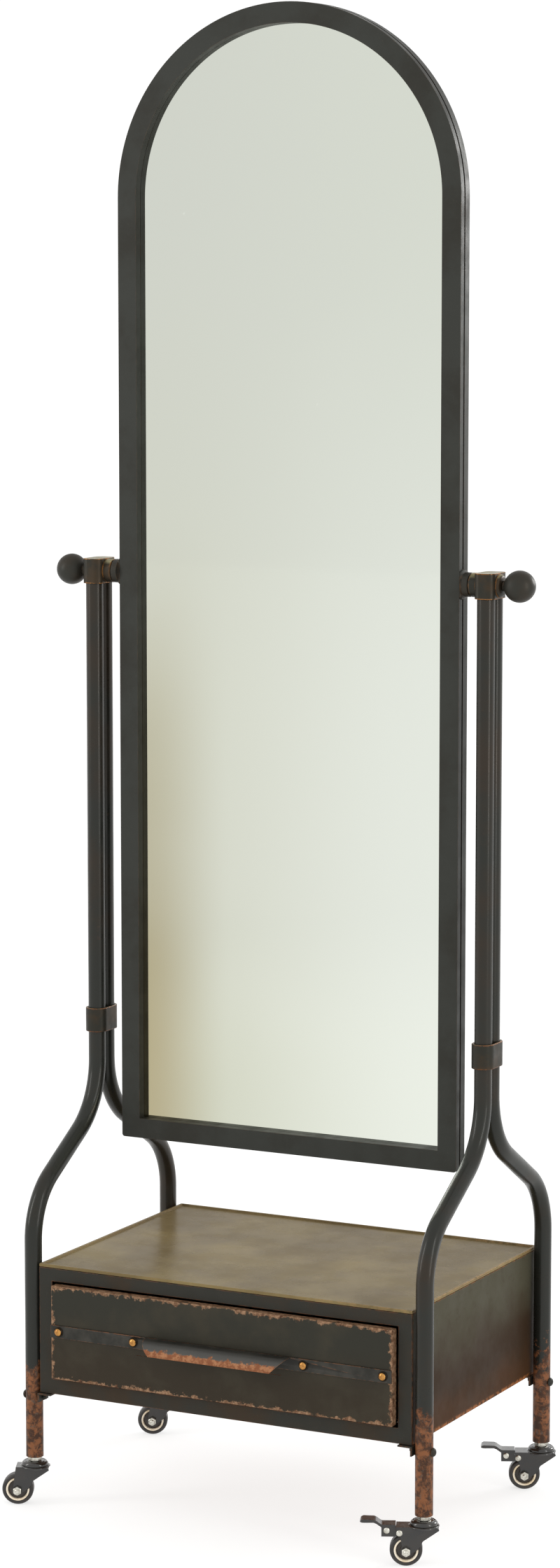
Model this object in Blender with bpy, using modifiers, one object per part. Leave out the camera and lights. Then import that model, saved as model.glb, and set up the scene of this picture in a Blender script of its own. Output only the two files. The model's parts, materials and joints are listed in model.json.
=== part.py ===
"""Rolling cheval floor mirror with one drawer, modelled piece by piece.

Metres, +Z up, +X to the right of someone facing the mirror, +Y to the back.
The origin lies on the floor under the middle of the whole footprint. Each size
that stands by itself is named once below, and the pieces take their places
from those sizes and from the clearance GAP between neighbours.
"""
import math

import bmesh
import bpy
from mathutils import Matrix, Vector

# ---------------------------------------------------------------- clearances
GAP = 0.0003            # between two pieces that touch
RUN = 0.0005            # between a turning piece and what holds it

# ------------------------------------------------------------ posts and legs
TUBE_R = 0.0111         # posts and legs are 22 mm tube
TUBE_WALL = 0.0015
LEG_Y = 0.177           # leg centre line, in front of and behind the posts
LOWER_BEND_RISE = 0.0767   # case top to where the leg would meet the slanted run
BEND_RISE = 0.0985         # from there up to where it would meet the upright pair
UPPER_BEND_R = 0.100
LOWER_BEND_R = 0.090
BEND_STEPS = 6
TUBE_SIDES = 12         # a multiple of 4

# ---------------------------------------------------- pivot heads and knobs
HEAD_WIDTH = 0.0265
HEAD_HEIGHT = 0.0315
HEAD_COVER = 0.0006     # how far the head stands proud of the tubes, front and back
HEAD_CORNER_R = 0.009
SPIGOT_DEPTH = 0.022    # the head's pegs inside the tubes
BARREL_R = 0.0150
HEAD_BOSS_LENGTH = 0.0105
OUTER_BOSS_LENGTH = 0.0050
STUD_R = 0.0040
KNOB_R = 0.0197
KNOB_NECK_R = 0.0066
KNOB_NECK_LENGTH = 0.0022
STUD_REACH = 0.0075     # how deep the stud goes into the mirror's own barrel

# ----------------------------------------------------------------- band clip
CLIP_WALL = 0.0034
CLIP_HEIGHT = 0.031
CLIP_RISE = 0.1085      # middle of the band above the upper bend

# -------------------------------------------------------------------- mirror
BARREL_LENGTH = 0.01165   # room for the bush between the frame and the head
FRAME_FACE = 0.0256     # width of the face bar
FRAME_CASE_GAP = 0.1327
FRAME_HEIGHT = 1.4368
PIVOT_RISE = 0.7305     # tilt axis above the bottom of the frame
FRAME_FRONT_Y = -0.0110
FACE_BAR_DEPTH = 0.0087
BEAD_DEPTH = 0.0033     # inner bead that the glass rests against
REAR_BAR_DEPTH = 0.0155
SLOT_WIDTH = 0.0032     # dark slot round the side, between the two bars
SLOT_DEPTH = 0.0022
FRAME_CORNER_R = 0.0035
FRAME_EDGE_BEVEL = 0.0009
GLASS_THICKNESS = 0.004
GLASS_INSET = 0.0080    # glass edge from the frame's outer edge
BACKING_THICKNESS = 0.003
REAR_LIP = 0.0200       # rear bar's inner edge from the frame's outer edge
ARCH_STEPS = 40
WELD_R = 0.0195         # weld bead round the barrel, on the frame's side
WELD_THICKNESS = 0.0022

# ---------------------------------------------------------------------- case
CASE_HALF_WIDTH = 0.2605
CASE_LEG_CLEARANCE = 0.0019
CASE_FRONT_OVERHANG = 0.0080   # past the centre line of the front legs
CASE_BACK_OVERHANG = 0.0130
CASE_RISE = 0.0867      # case bottom above the foot of the legs
CASE_HEIGHT = 0.1671
SHEET = 0.0015
FACE_FRAME_THICKNESS = 0.0020
STILE = 0.0187
TOP_RAIL = 0.0213
BOTTOM_RAIL = 0.0200
TOP_THICKNESS = 0.0040
TOP_RIM = 0.0042        # width of the raised hem round the top
TOP_RECESS = 0.0022

# -------------------------------------------------------------------- drawer
DRAWER_SIDE_CLEARANCE = 0.0034
DRAWER_TOP_CLEARANCE = 0.0030
DRAWER_BOTTOM_CLEARANCE = 0.0025
DRAWER_PROUD = 0.0090
FRONT_PAN_DEPTH = 0.0125
TRAY_SIDE_CLEARANCE = 0.0070   # tray side to the edge of the opening
TRAY_BACK_CLEARANCE = 0.0200
TRAY_HEIGHT = 0.100
RUNNER_SHELF = 0.0120
RUNNER_HEIGHT = 0.022
RUNNER_SHEET = 0.0015
STRIP_HEIGHT = 0.0162
STRIP_THICKNESS = 0.0014
STRIP_RISE = 0.00195    # middle of the strap above the middle of the front
LIP_HALF_LENGTH = 0.1010
LIP_REACH = 0.0255      # how far the pull stands out from the strip
LIP_DROP = 0.0165       # how far it curls down
LIP_STEPS = 10
RIVET_R = 0.0064
RIVET_HEIGHT = 0.0046
RIVET_SHANK_R = 0.0024
RIVET_EDGE = 0.0119     # outer rivet to the end of the front
RIVET_LIP_GAP = 0.0178  # inner rivet to the end of the pull

# ---------------------------------------------------------- corner brackets
BRACKET_SHEET = 0.0020
BRACKET_LENGTH = 0.019
BRACKET_WIDTH = 0.024
BRACKET_EDGE = 0.0030   # metal left below the bolt hole
BOLT_R = 0.0025
BOLT_HEAD_R = 0.0056
BOLT_HEAD_HEIGHT = 0.0042
BOLT_NUT_FLATS = 0.0070
BOLT_NUT_THICKNESS = 0.0040

# ------------------------------------------------------------------- casters
WHEEL_R = 0.020
WHEEL_WIDTH = 0.017
CASTER_TRAIL = 0.0215
CASTER_HEADING = math.radians(25.0)
FORK_SHEET = 0.0020
FORK_CLEARANCE = 0.0012
FORK_CROWN = 0.0100      # fork top above the wheel
SWIVEL_R = 0.0178
SWIVEL_HEIGHT = 0.0064
COLLAR_FLATS = 0.0150
COLLAR_HEIGHT = 0.0050
KING_PIN_R = 0.0040
STEM_R = 0.0048
STEM_LENGTH = 0.026
INSERT_LENGTH = 0.030
AXLE_R = 0.0028
AXLE_NUT_FLATS = 0.0098
AXLE_NUT_THICKNESS = 0.0052
PEDAL_PIVOT = (-0.0081, 0.0025)   # behind the axle, above the tyre
PEDAL_RIVET = (-0.0235, 0.0048)
PEDAL_PIN_R = 0.0022
PEDAL_HEAD_R = 0.0040
PEDAL_LOBE_R = 0.0032
PEDAL_SHEET = 0.0018
PEDAL_LENGTH = 0.0300    # axle to the root of the paddle
PEDAL_TOP = 0.0022       # above the fork
PEDAL_SHOE = 0.0174      # lower edge above the axle
BRAKE_ANGLE = math.radians(17.0)
SHOE_GAP = 0.0004        # shoe to tyre with the pedal pressed
SHOE_ARC = (133, 117)    # stretch of the tyre that the shoe presses, in degrees
SHOE_LENGTH = 0.0195
PADDLE = ((0.0020, 0.0), (0.0, 0.0004), (-0.0060, 0.0050), (-0.0090, 0.0059),
          (-0.0220, 0.0061), (-0.0250, 0.0050), (-0.0263, 0.0024), (-0.0253, 0.0020),
          (-0.0095, 0.0022), (-0.0060, 0.0008), (0.0, -0.0034))

# ------------------------------------------------ where the footprint centres
FOOTPRINT_SHIFT_Y = 0.0125

# -------------------------------------------------------------- worked sizes
FORK_TOP_Z = 2 * WHEEL_R + FORK_CROWN
COLLAR_BOTTOM_Z = FORK_TOP_Z + SWIVEL_HEIGHT + GAP
COLLAR_TOP_Z = COLLAR_BOTTOM_Z + COLLAR_HEIGHT
LEG_BOTTOM_Z = COLLAR_TOP_Z + GAP
CASE_BOTTOM_Z = LEG_BOTTOM_Z + CASE_RISE
CASE_TOP_Z = CASE_BOTTOM_Z + CASE_HEIGHT
CASE_FRONT_Y = -LEG_Y - CASE_FRONT_OVERHANG
CASE_BACK_Y = LEG_Y + CASE_BACK_OVERHANG
LEG_X = CASE_HALF_WIDTH + CASE_LEG_CLEARANCE + TUBE_R   # post centre line
LOWER_BEND_Z = CASE_TOP_Z + LOWER_BEND_RISE
UPPER_BEND_Z = LOWER_BEND_Z + BEND_RISE
CLIP_MID_Z = UPPER_BEND_Z + CLIP_RISE
FRAME_BOTTOM_Z = CASE_TOP_Z + FRAME_CASE_GAP
FRAME_TOP_Z = FRAME_BOTTOM_Z + FRAME_HEIGHT
PIVOT_Z = FRAME_BOTTOM_Z + PIVOT_RISE       # height of the tilt axis
PAIR_Y = TUBE_R + GAP                       # half the spacing of the paired posts
HEAD_HALF_DEPTH = PAIR_Y + TUBE_R + HEAD_COVER
HEAD_BOTTOM_Z = PIVOT_Z - HEAD_HEIGHT / 2
TUBE_FIT_R = (TUBE_R - TUBE_WALL) * math.cos(math.pi / TUBE_SIDES) - GAP   # plugs in the bore
HEAD_INNER_X = LEG_X - HEAD_WIDTH / 2
HEAD_OUTER_X = LEG_X + HEAD_WIDTH / 2
BOSS_INNER_X = HEAD_INNER_X - HEAD_BOSS_LENGTH
BOSS_OUTER_X = HEAD_OUTER_X + OUTER_BOSS_LENGTH
FRAME_HALF_WIDTH = BOSS_INNER_X - RUN - BARREL_LENGTH - GAP
ARCH_CENTRE_Z = FRAME_TOP_Z - FRAME_HALF_WIDTH
FACE_BAR_BACK_Y = FRAME_FRONT_Y + FACE_BAR_DEPTH
REAR_BAR_FRONT_Y = FACE_BAR_BACK_Y + GAP
REAR_BAR_BACK_Y = REAR_BAR_FRONT_Y + REAR_BAR_DEPTH
BEAD_BACK_Y = FACE_BAR_BACK_Y + BEAD_DEPTH
GLASS_FRONT_Y = BEAD_BACK_Y + GAP
BACKING_FRONT_Y = GLASS_FRONT_Y + GLASS_THICKNESS + GAP
OPENING_HALF_WIDTH = CASE_HALF_WIDTH - STILE
OPENING_TOP_Z = CASE_TOP_Z - TOP_RAIL
OPENING_BOTTOM_Z = CASE_BOTTOM_Z + BOTTOM_RAIL
TOP_UNDERSIDE_Z = CASE_TOP_Z - TOP_THICKNESS
FRONT_HALF_WIDTH = OPENING_HALF_WIDTH - DRAWER_SIDE_CLEARANCE
FRONT_TOP_Z = OPENING_TOP_Z - DRAWER_TOP_CLEARANCE
FRONT_BOTTOM_Z = OPENING_BOTTOM_Z + DRAWER_BOTTOM_CLEARANCE
FRONT_FACE_Y = CASE_FRONT_Y - DRAWER_PROUD
FRONT_PAN_BACK_Y = FRONT_FACE_Y + FRONT_PAN_DEPTH
STRIP_FRONT_Y = FRONT_FACE_Y - GAP - STRIP_THICKNESS
STRIP_MID_Z = (FRONT_TOP_Z + FRONT_BOTTOM_Z) / 2 + STRIP_RISE
OUTER_RIVET_X = FRONT_HALF_WIDTH - RIVET_EDGE
INNER_RIVET_X = LIP_HALF_LENGTH + RIVET_LIP_GAP
TRAY_HALF_WIDTH = OPENING_HALF_WIDTH - TRAY_SIDE_CLEARANCE
TRAY_BOTTOM_Z = FRONT_BOTTOM_Z + 0.004
TRAY_BACK_Y = CASE_BACK_Y - SHEET - TRAY_BACK_CLEARANCE
BRACKET_TOP_Z = CASE_BOTTOM_Z - GAP
BRACKET_OUTER_X = LEG_X - TUBE_R - GAP
BOLT_Z = BRACKET_TOP_Z - BRACKET_SHEET - BOLT_NUT_FLATS / math.sqrt(3) - 2 * GAP
BRACKET_BOTTOM_Z = BOLT_Z - BOLT_R - BRACKET_EDGE
FORK_HALF_GAP = WHEEL_WIDTH / 2 + FORK_CLEARANCE
FORK_HALF_WIDTH = FORK_HALF_GAP + FORK_SHEET
AXLE_X = -CASTER_TRAIL
PEDAL_PIVOT_X = AXLE_X + PEDAL_PIVOT[0]
PEDAL_PIVOT_Z = 2 * WHEEL_R + PEDAL_PIVOT[1]
PEDAL_RIVET_X = AXLE_X + PEDAL_RIVET[0]
PEDAL_RIVET_Z = 2 * WHEEL_R + PEDAL_RIVET[1]

SIDES = (("left", -1), ("right", 1))
CORNERS = (("front_left", -1, -1), ("front_right", 1, -1),
           ("rear_left", -1, 1), ("rear_right", 1, 1))

FINISHES = {
    "black_paint": ((0.045, 0.046, 0.042), 0.42, 0.6),
    "bronze_paint": ((0.085, 0.065, 0.042), 0.45, 0.7),
    "worn_steel": ((0.11, 0.055, 0.028), 0.65, 0.4),
    "brass": ((0.62, 0.42, 0.15), 0.3, 1.0),
    "mirror_glass": ((0.80, 0.83, 0.80), 0.03, 1.0),
    "board": ((0.10, 0.075, 0.05), 0.85, 0.0),
    "zinc": ((0.62, 0.61, 0.57), 0.3, 1.0),
    "gloss_black": ((0.016, 0.016, 0.016), 0.2, 0.5),
    "wheel": ((0.02, 0.02, 0.02), 0.55, 0.0),
    "nylon": ((0.05, 0.05, 0.05), 0.6, 0.0),
}


# ------------------------------------------------------------------- helpers
def clear_scene():
    for obj in list(bpy.data.objects):
        bpy.data.objects.remove(obj, do_unlink=True)


def make_collection(name):
    collection = bpy.data.collections.new(name)
    bpy.context.scene.collection.children.link(collection)
    return collection


def adopt(obj, collection):
    for other in list(obj.users_collection):
        other.objects.unlink(obj)
    collection.objects.link(obj)
    return obj


def attach(obj, parent, location=(0, 0, 0), rotation=(0, 0, 0)):
    """Place an object under a parent empty."""
    obj.parent = parent
    obj.location = location
    obj.rotation_euler = rotation
    return obj


def finish_part(obj, finish, smooth_angle=40):
    """Give a sub-part its own material and smooth shading with sharp edges."""
    colour, roughness, metallic = FINISHES[finish]
    material = bpy.data.materials.new(obj.name + "_" + finish)
    material.use_nodes = True
    shader = material.node_tree.nodes["Principled BSDF"]
    shader.inputs["Base Color"].default_value = (*colour, 1)
    shader.inputs["Roughness"].default_value = roughness
    shader.inputs["Metallic"].default_value = metallic
    obj.data.materials.clear()
    obj.data.materials.append(material)
    obj.data.shade_smooth()
    obj.data.set_sharp_from_angle(angle=math.radians(smooth_angle))
    return adopt(obj, PARTS)


def make_cutter(obj):
    obj.hide_render = True
    obj.display_type = "WIRE"
    return adopt(obj, CUTTERS)


def boolean(obj, operation, other):
    modifier = obj.modifiers.new(operation.lower() + "_" + other.name, "BOOLEAN")
    modifier.operation = operation
    modifier.solver = "EXACT"
    modifier.object = other
    make_cutter(other)
    return obj


def cut(obj, other):
    return boolean(obj, "DIFFERENCE", other)


def join(obj, other):
    return boolean(obj, "UNION", other)


def bevel(obj, width, segments=2, angle=40):
    modifier = obj.modifiers.new("rounded_edges", "BEVEL")
    modifier.width = width
    modifier.segments = segments
    modifier.limit_method = "ANGLE"
    modifier.angle_limit = math.radians(angle)
    modifier.use_clamp_overlap = True
    return obj


def box(name, low, high):
    """A plain block between two corners, its origin at its own middle."""
    low, high = Vector(low), Vector(high)
    bm = bmesh.new()
    bmesh.ops.create_cube(bm, size=1)
    bmesh.ops.transform(bm, matrix=Matrix.Diagonal((*(high - low), 1)), verts=bm.verts)
    bmesh.ops.translate(bm, vec=(low + high) / 2, verts=bm.verts)
    mesh = bpy.data.meshes.new(name)
    bm.to_mesh(mesh)
    bm.free()
    obj = bpy.data.objects.new(name, mesh)
    bpy.context.scene.collection.objects.link(obj)
    return obj


def prism(name, radius, bottom, top, sides=16, turn=0.0):
    """An upright rod or a hex bar about the local Z axis."""
    bm = bmesh.new()
    bmesh.ops.create_cone(bm, cap_ends=True, segments=sides, radius1=radius,
                          radius2=radius, depth=top - bottom)
    bmesh.ops.rotate(bm, matrix=Matrix.Rotation(turn, 3, "Z"), verts=bm.verts)
    bmesh.ops.translate(bm, vec=(0, 0, (top + bottom) / 2), verts=bm.verts)
    mesh = bpy.data.meshes.new(name)
    bm.to_mesh(mesh)
    bm.free()
    obj = bpy.data.objects.new(name, mesh)
    bpy.context.scene.collection.objects.link(obj)
    return obj


def turned(name, profile, steps=24, ring=False):
    """Turn a profile of (radius, height) points, top to bottom on its outer side.

    ring=True closes the profile on itself, for a piece with a bore.
    """
    mesh = bpy.data.meshes.new(name)
    edges = [(i, i + 1) for i in range(len(profile) - 1)]
    if ring:
        edges.append((len(profile) - 1, 0))
    mesh.from_pydata([(r, 0, z) for r, z in profile], edges, [])
    obj = bpy.data.objects.new(name, mesh)
    bpy.context.scene.collection.objects.link(obj)
    screw = obj.modifiers.new("turn", "SCREW")
    screw.axis = "Z"
    screw.steps = steps
    screw.render_steps = steps
    screw.use_merge_vertices = True
    screw.merge_threshold = 0.00001
    screw.use_normal_calculate = True
    return solid_copy(obj)


def solid_copy(obj):
    """Turn an object with modifiers or a curve into a plain closed mesh object."""
    bpy.context.view_layer.update()
    graph = bpy.context.evaluated_depsgraph_get()
    mesh = bpy.data.meshes.new_from_object(obj.evaluated_get(graph))
    bm = bmesh.new()
    bm.from_mesh(mesh)
    bmesh.ops.remove_doubles(bm, verts=bm.verts, dist=0.00001)
    bmesh.ops.recalc_face_normals(bm, faces=bm.faces)
    bm.to_mesh(mesh)
    bm.free()
    name, matrix = obj.name, obj.matrix_world.copy()
    bpy.data.objects.remove(obj, do_unlink=True)
    mesh.name = name
    solid = bpy.data.objects.new(name, mesh)
    solid.matrix_world = matrix
    bpy.context.scene.collection.objects.link(solid)
    return solid


def plate(name, outlines, low, high):
    """Extrude flat outlines, the first one outer and the rest holes, from low to high."""
    curve = bpy.data.curves.new(name, "CURVE")
    curve.dimensions = "2D"
    curve.fill_mode = "BOTH"
    curve.extrude = (high - low) / 2
    for outline in outlines:
        spline = curve.splines.new("POLY")
        spline.points.add(len(outline) - 1)
        for point, (x, y) in zip(spline.points, outline):
            point.co = (x, y, 0, 1)
        spline.use_cyclic_u = True
    obj = bpy.data.objects.new(name, curve)
    bpy.context.scene.collection.objects.link(obj)
    solid = solid_copy(obj)
    solid.data.transform(Matrix.Translation((0, 0, (low + high) / 2)))
    return solid


def upright_plate(name, outlines, front_y, back_y):
    """A plate whose outline is drawn in X and Z, standing between two depths."""
    obj = plate(name, outlines, -back_y, -front_y)
    obj.data.transform(Matrix.Rotation(math.pi / 2, 4, "X"))
    return obj


def arc(centre, radius, start, end, steps):
    """Points of an arc, both ends included; angles in degrees."""
    points = []
    for i in range(steps + 1):
        angle = math.radians(start + (end - start) * i / steps)
        points.append((centre[0] + radius * math.cos(angle),
                       centre[1] + radius * math.sin(angle)))
    return points


def rounded_path(corners, radii, steps):
    """A path of straight runs whose inner corners are rounded."""
    points = [Vector(corners[0])]
    for before, corner, after, radius in zip(corners, corners[1:], corners[2:], radii):
        before, corner, after = Vector(before), Vector(corner), Vector(after)
        into, out = (corner - before).normalized(), (after - corner).normalized()
        turn = into.angle(out)
        start = corner - into * radius * math.tan(turn / 2)
        inward = (out - into * into.dot(out)).normalized()
        centre = start + inward * radius
        for i in range(steps + 1):
            angle = turn * i / steps
            points.append(centre - inward * radius * math.cos(angle)
                          + into * radius * math.sin(angle))
    points.append(Vector(corners[-1]))
    return points


# ------------------------------------------------------------ posts and legs
def leg(name, side, depth):
    """One bent tube: half of the paired post above, a leg beside the case below."""
    corners = [(side * LEG_X, depth * PAIR_Y, HEAD_BOTTOM_Z - GAP),
               (side * LEG_X, depth * PAIR_Y, UPPER_BEND_Z),
               (side * LEG_X, depth * LEG_Y, LOWER_BEND_Z),
               (side * LEG_X, depth * LEG_Y, LEG_BOTTOM_Z)]
    path = rounded_path(corners, (UPPER_BEND_R, LOWER_BEND_R), BEND_STEPS)
    curve = bpy.data.curves.new(name, "CURVE")
    curve.dimensions = "3D"
    curve.bevel_depth = TUBE_R
    curve.bevel_resolution = (TUBE_SIDES - 4) // 2
    spline = curve.splines.new("POLY")
    spline.points.add(len(path) - 1)
    for point, place in zip(spline.points, path):
        point.co = (*place, 1)
    obj = bpy.data.objects.new(name, curve)
    bpy.context.scene.collection.objects.link(obj)
    obj = solid_copy(obj)
    wall = obj.modifiers.new("wall", "SOLIDIFY")
    wall.thickness = TUBE_WALL
    wall.offset = -1
    wall.use_even_offset = True
    hole = prism(name + "_bolt_hole", BOLT_R + GAP, -2 * TUBE_R, 2 * TUBE_R)
    attach(hole, STAND, (side * LEG_X, depth * LEG_Y, BOLT_Z), (0, math.pi / 2, 0))
    cut(obj, hole)
    return finish_part(attach(obj, STAND), "black_paint")


def leg_insert(name, side, depth):
    """Threaded plug pressed into the foot of the tube; the caster screws into it."""
    top, bottom = LEG_BOTTOM_Z + INSERT_LENGTH, LEG_BOTTOM_Z + GAP
    outer, bore = TUBE_FIT_R, STEM_R + GAP
    profile = [(outer, top), (outer, bottom), (bore, bottom), (bore, top)]
    obj = turned(name, profile, steps=16, ring=True)
    attach(obj, STAND, (side * LEG_X, depth * LEG_Y, 0))
    return finish_part(obj, "nylon")


def pivot_head(name, side):
    """Block that caps the two tubes and carries the tilt bearing."""
    block = box(name, (-HEAD_WIDTH / 2, -HEAD_HALF_DEPTH, HEAD_BOTTOM_Z),
                (HEAD_WIDTH / 2, HEAD_HALF_DEPTH, HEAD_BOTTOM_Z + HEAD_HEIGHT))
    bm = bmesh.new()
    bm.from_mesh(block.data)
    upright = [e for e in bm.edges if abs(e.verts[0].co.z - e.verts[1].co.z) > GAP]
    bmesh.ops.bevel(bm, geom=upright, offset=min(HEAD_CORNER_R, HEAD_WIDTH / 2 - GAP),
                    segments=3, profile=0.5, affect="EDGES")
    bm.to_mesh(block.data)
    bm.free()
    bevel(block, 0.0012, segments=2, angle=60)
    attach(block, STAND, (side * LEG_X, 0, 0))
    for depth in (-1, 1):
        spigot = prism("%s_spigot_%d" % (name, depth + 1), TUBE_FIT_R,
                       HEAD_BOTTOM_Z - SPIGOT_DEPTH, HEAD_BOTTOM_Z + 0.002, sides=12)
        join(block, attach(spigot, STAND, (side * LEG_X, depth * PAIR_Y, 0)))
    sunk = 0.003
    shoulder = OUTER_BOSS_LENGTH / 2
    profile = [(0, BOSS_OUTER_X)]
    profile += [(KNOB_NECK_R + 0.0012, BOSS_OUTER_X)]
    profile += arc((BARREL_R - 0.0045, HEAD_OUTER_X + shoulder - 0.0005), 0.0042, 60, 0, 2)
    profile += [(BARREL_R - 0.0003, HEAD_OUTER_X - sunk), (0, HEAD_OUTER_X - sunk)]
    boss = turned(name + "_outer_boss", profile, steps=20)
    join(block, attach(boss, STAND, (0, 0, PIVOT_Z), (0, side * math.pi / 2, 0)))
    edge = 0.0016
    profile = [(0, HEAD_INNER_X + sunk), (BARREL_R, HEAD_INNER_X + sunk),
               (BARREL_R, BOSS_INNER_X + edge), (BARREL_R - edge, BOSS_INNER_X),
               (0, BOSS_INNER_X)]
    boss = turned(name + "_inner_boss", profile, steps=20)
    join(block, attach(boss, STAND, (0, 0, PIVOT_Z), (0, side * math.pi / 2, 0)))
    bore = prism(name + "_bore", STUD_R + GAP, BOSS_INNER_X - 0.01, BOSS_OUTER_X + 0.01)
    cut(block, attach(bore, STAND, (0, 0, PIVOT_Z), (0, side * math.pi / 2, 0)))
    return finish_part(block, "black_paint")


def ball_knob(name, side):
    """Ball, neck and clamping stud in one; turning it frees or holds the tilt."""
    neck_start = BOSS_OUTER_X + RUN
    meet = math.degrees(math.asin(KNOB_NECK_R / KNOB_R))
    centre = neck_start + KNOB_NECK_LENGTH + KNOB_R * math.cos(math.radians(meet))
    ball = [(r, centre + h) for h, r in arc((0, 0), KNOB_R, 0, 180 - meet, 12)]
    ball[0] = (0, ball[0][1])
    stud_end = FRAME_HALF_WIDTH + WELD_THICKNESS
    profile = ball + [(KNOB_NECK_R, neck_start), (STUD_R, neck_start),
                      (STUD_R, stud_end + 0.001), (STUD_R - 0.001, stud_end), (0, stud_end)]
    obj = turned(name, profile, steps=20)
    attach(obj, STAND, (0, 0, PIVOT_Z), (0, side * math.pi / 2, 0))
    return finish_part(obj, "black_paint")


def band_clip(name, side):
    """Band wrapped round both tubes of a post."""
    def stadium(radius):
        return arc((0, PAIR_Y), radius, 0, 180, 8) + arc((0, -PAIR_Y), radius, 180, 360, 8)
    low = CLIP_MID_Z - CLIP_HEIGHT / 2
    outlines = [stadium(TUBE_R + CLIP_WALL), stadium(TUBE_R + GAP)]
    obj = plate(name, outlines, low, low + CLIP_HEIGHT)
    bevel(obj, 0.0008, segments=1, angle=60)
    attach(obj, STAND, (side * LEG_X, 0, 0))
    return finish_part(obj, "bronze_paint")


# -------------------------------------------------------------------- mirror
def arch_outline(inset, corner):
    """Arched outline in X and Z, inset from the frame's outer edge."""
    half = FRAME_HALF_WIDTH - inset
    bottom = FRAME_BOTTOM_Z + inset
    points = arc((0, ARCH_CENTRE_Z), half, 0, 180, ARCH_STEPS)
    if corner:
        points += arc((-half + corner, bottom + corner), corner, 180, 270, 3)
        points += arc((half - corner, bottom + corner), corner, 270, 360, 3)
    else:
        points += [(-half, bottom), (half, bottom)]
    return points


def mirror_front_frame():
    """Face bar bent to the arch, with an inner bead that stops the glass."""
    outlines = [arch_outline(0, FRAME_CORNER_R), arch_outline(FRAME_FACE, 0)]
    obj = upright_plate("mirror_front_frame", outlines, FRAME_FRONT_Y, BEAD_BACK_Y)
    bevel(obj, FRAME_EDGE_BEVEL, segments=1, angle=60)
    rebate = upright_plate("face_bar_rebate", [arch_outline(-0.01, 0), arch_outline(GLASS_INSET, 0)],
                           FACE_BAR_BACK_Y, BEAD_BACK_Y + 0.01)
    cut(obj, attach(rebate, STAND))
    return finish_part(attach(obj, STAND), "black_paint")


def mirror_rear_frame():
    """Rear bar: holds glass and backing, and leaves the slot round the side."""
    outlines = [arch_outline(0, FRAME_CORNER_R), arch_outline(REAR_LIP, 0)]
    obj = upright_plate("mirror_rear_frame", outlines, REAR_BAR_FRONT_Y, REAR_BAR_BACK_Y)
    pocket_back = BACKING_FRONT_Y + BACKING_THICKNESS + GAP
    pocket = upright_plate("glass_pocket", [arch_outline(GLASS_INSET - GAP, 0)],
                           REAR_BAR_FRONT_Y - 0.01, pocket_back)
    cut(obj, attach(pocket, STAND))
    slot = upright_plate("side_slot",
                         [arch_outline(-0.01, 0), arch_outline(SLOT_DEPTH, FRAME_CORNER_R)],
                         REAR_BAR_FRONT_Y - 0.01, REAR_BAR_FRONT_Y + SLOT_WIDTH)
    cut(obj, attach(slot, STAND))
    return finish_part(attach(obj, STAND), "black_paint")


def mirror_glass():
    outline = arch_outline(GLASS_INSET, 0)
    obj = upright_plate("mirror_glass", [outline], GLASS_FRONT_Y,
                        GLASS_FRONT_Y + GLASS_THICKNESS)
    return finish_part(attach(obj, STAND), "mirror_glass")


def mirror_backing():
    outline = arch_outline(GLASS_INSET, 0)
    obj = upright_plate("mirror_backing", [outline], BACKING_FRONT_Y,
                        BACKING_FRONT_Y + BACKING_THICKNESS)
    return finish_part(attach(obj, STAND), "board")


def pivot_barrel(name, side):
    """Bush welded to the frame's side; the knob's stud turns inside it."""
    start, end = FRAME_HALF_WIDTH + GAP, BOSS_INNER_X - RUN
    edge = 0.0014
    throat = start + WELD_THICKNESS
    bore = STUD_R + RUN
    profile = [(bore, end), (BARREL_R - edge, end), (BARREL_R, end - edge),
               (BARREL_R, throat + 0.0016), (BARREL_R + 0.0012, throat + 0.0004),
               (WELD_R, start + 0.0008), (WELD_R, start), (bore, start)]
    obj = turned(name, profile, steps=20, ring=True)
    attach(obj, STAND, (0, 0, PIVOT_Z), (0, side * math.pi / 2, 0))
    trims = (("front", -0.05, FRAME_FRONT_Y), ("back", REAR_BAR_BACK_Y, 0.05))
    for label, low, high in trims:
        inner, outer = sorted((side * (start - 0.005), side * (throat + 0.0002)))
        trim = box("%s_%s_trim" % (name, label), (inner, low, PIVOT_Z - 0.04),
                   (outer, high, PIVOT_Z + 0.04))
        cut(obj, attach(trim, STAND))
    return finish_part(obj, "black_paint")


# ---------------------------------------------------------------------- case
def case_shell():
    """Two sides and the back, bent from one sheet."""
    half, back = CASE_HALF_WIDTH, CASE_BACK_Y
    front = CASE_FRONT_Y + FACE_FRAME_THICKNESS + GAP
    outline = [(-half, front), (-half, back), (half, back), (half, front),
               (half - SHEET, front), (half - SHEET, back - SHEET),
               (-half + SHEET, back - SHEET), (-half + SHEET, front)]
    obj = plate("case_shell", [outline[::-1]], CASE_BOTTOM_Z, TOP_UNDERSIDE_Z - GAP)
    return finish_part(attach(obj, STAND), "black_paint")


def case_bottom():
    inset = SHEET + GAP
    obj = box("case_bottom",
              (-CASE_HALF_WIDTH + inset, CASE_FRONT_Y + FACE_FRAME_THICKNESS + GAP,
               CASE_BOTTOM_Z),
              (CASE_HALF_WIDTH - inset, CASE_BACK_Y - inset, CASE_BOTTOM_Z + SHEET))
    return finish_part(attach(obj, STAND), "black_paint")


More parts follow.
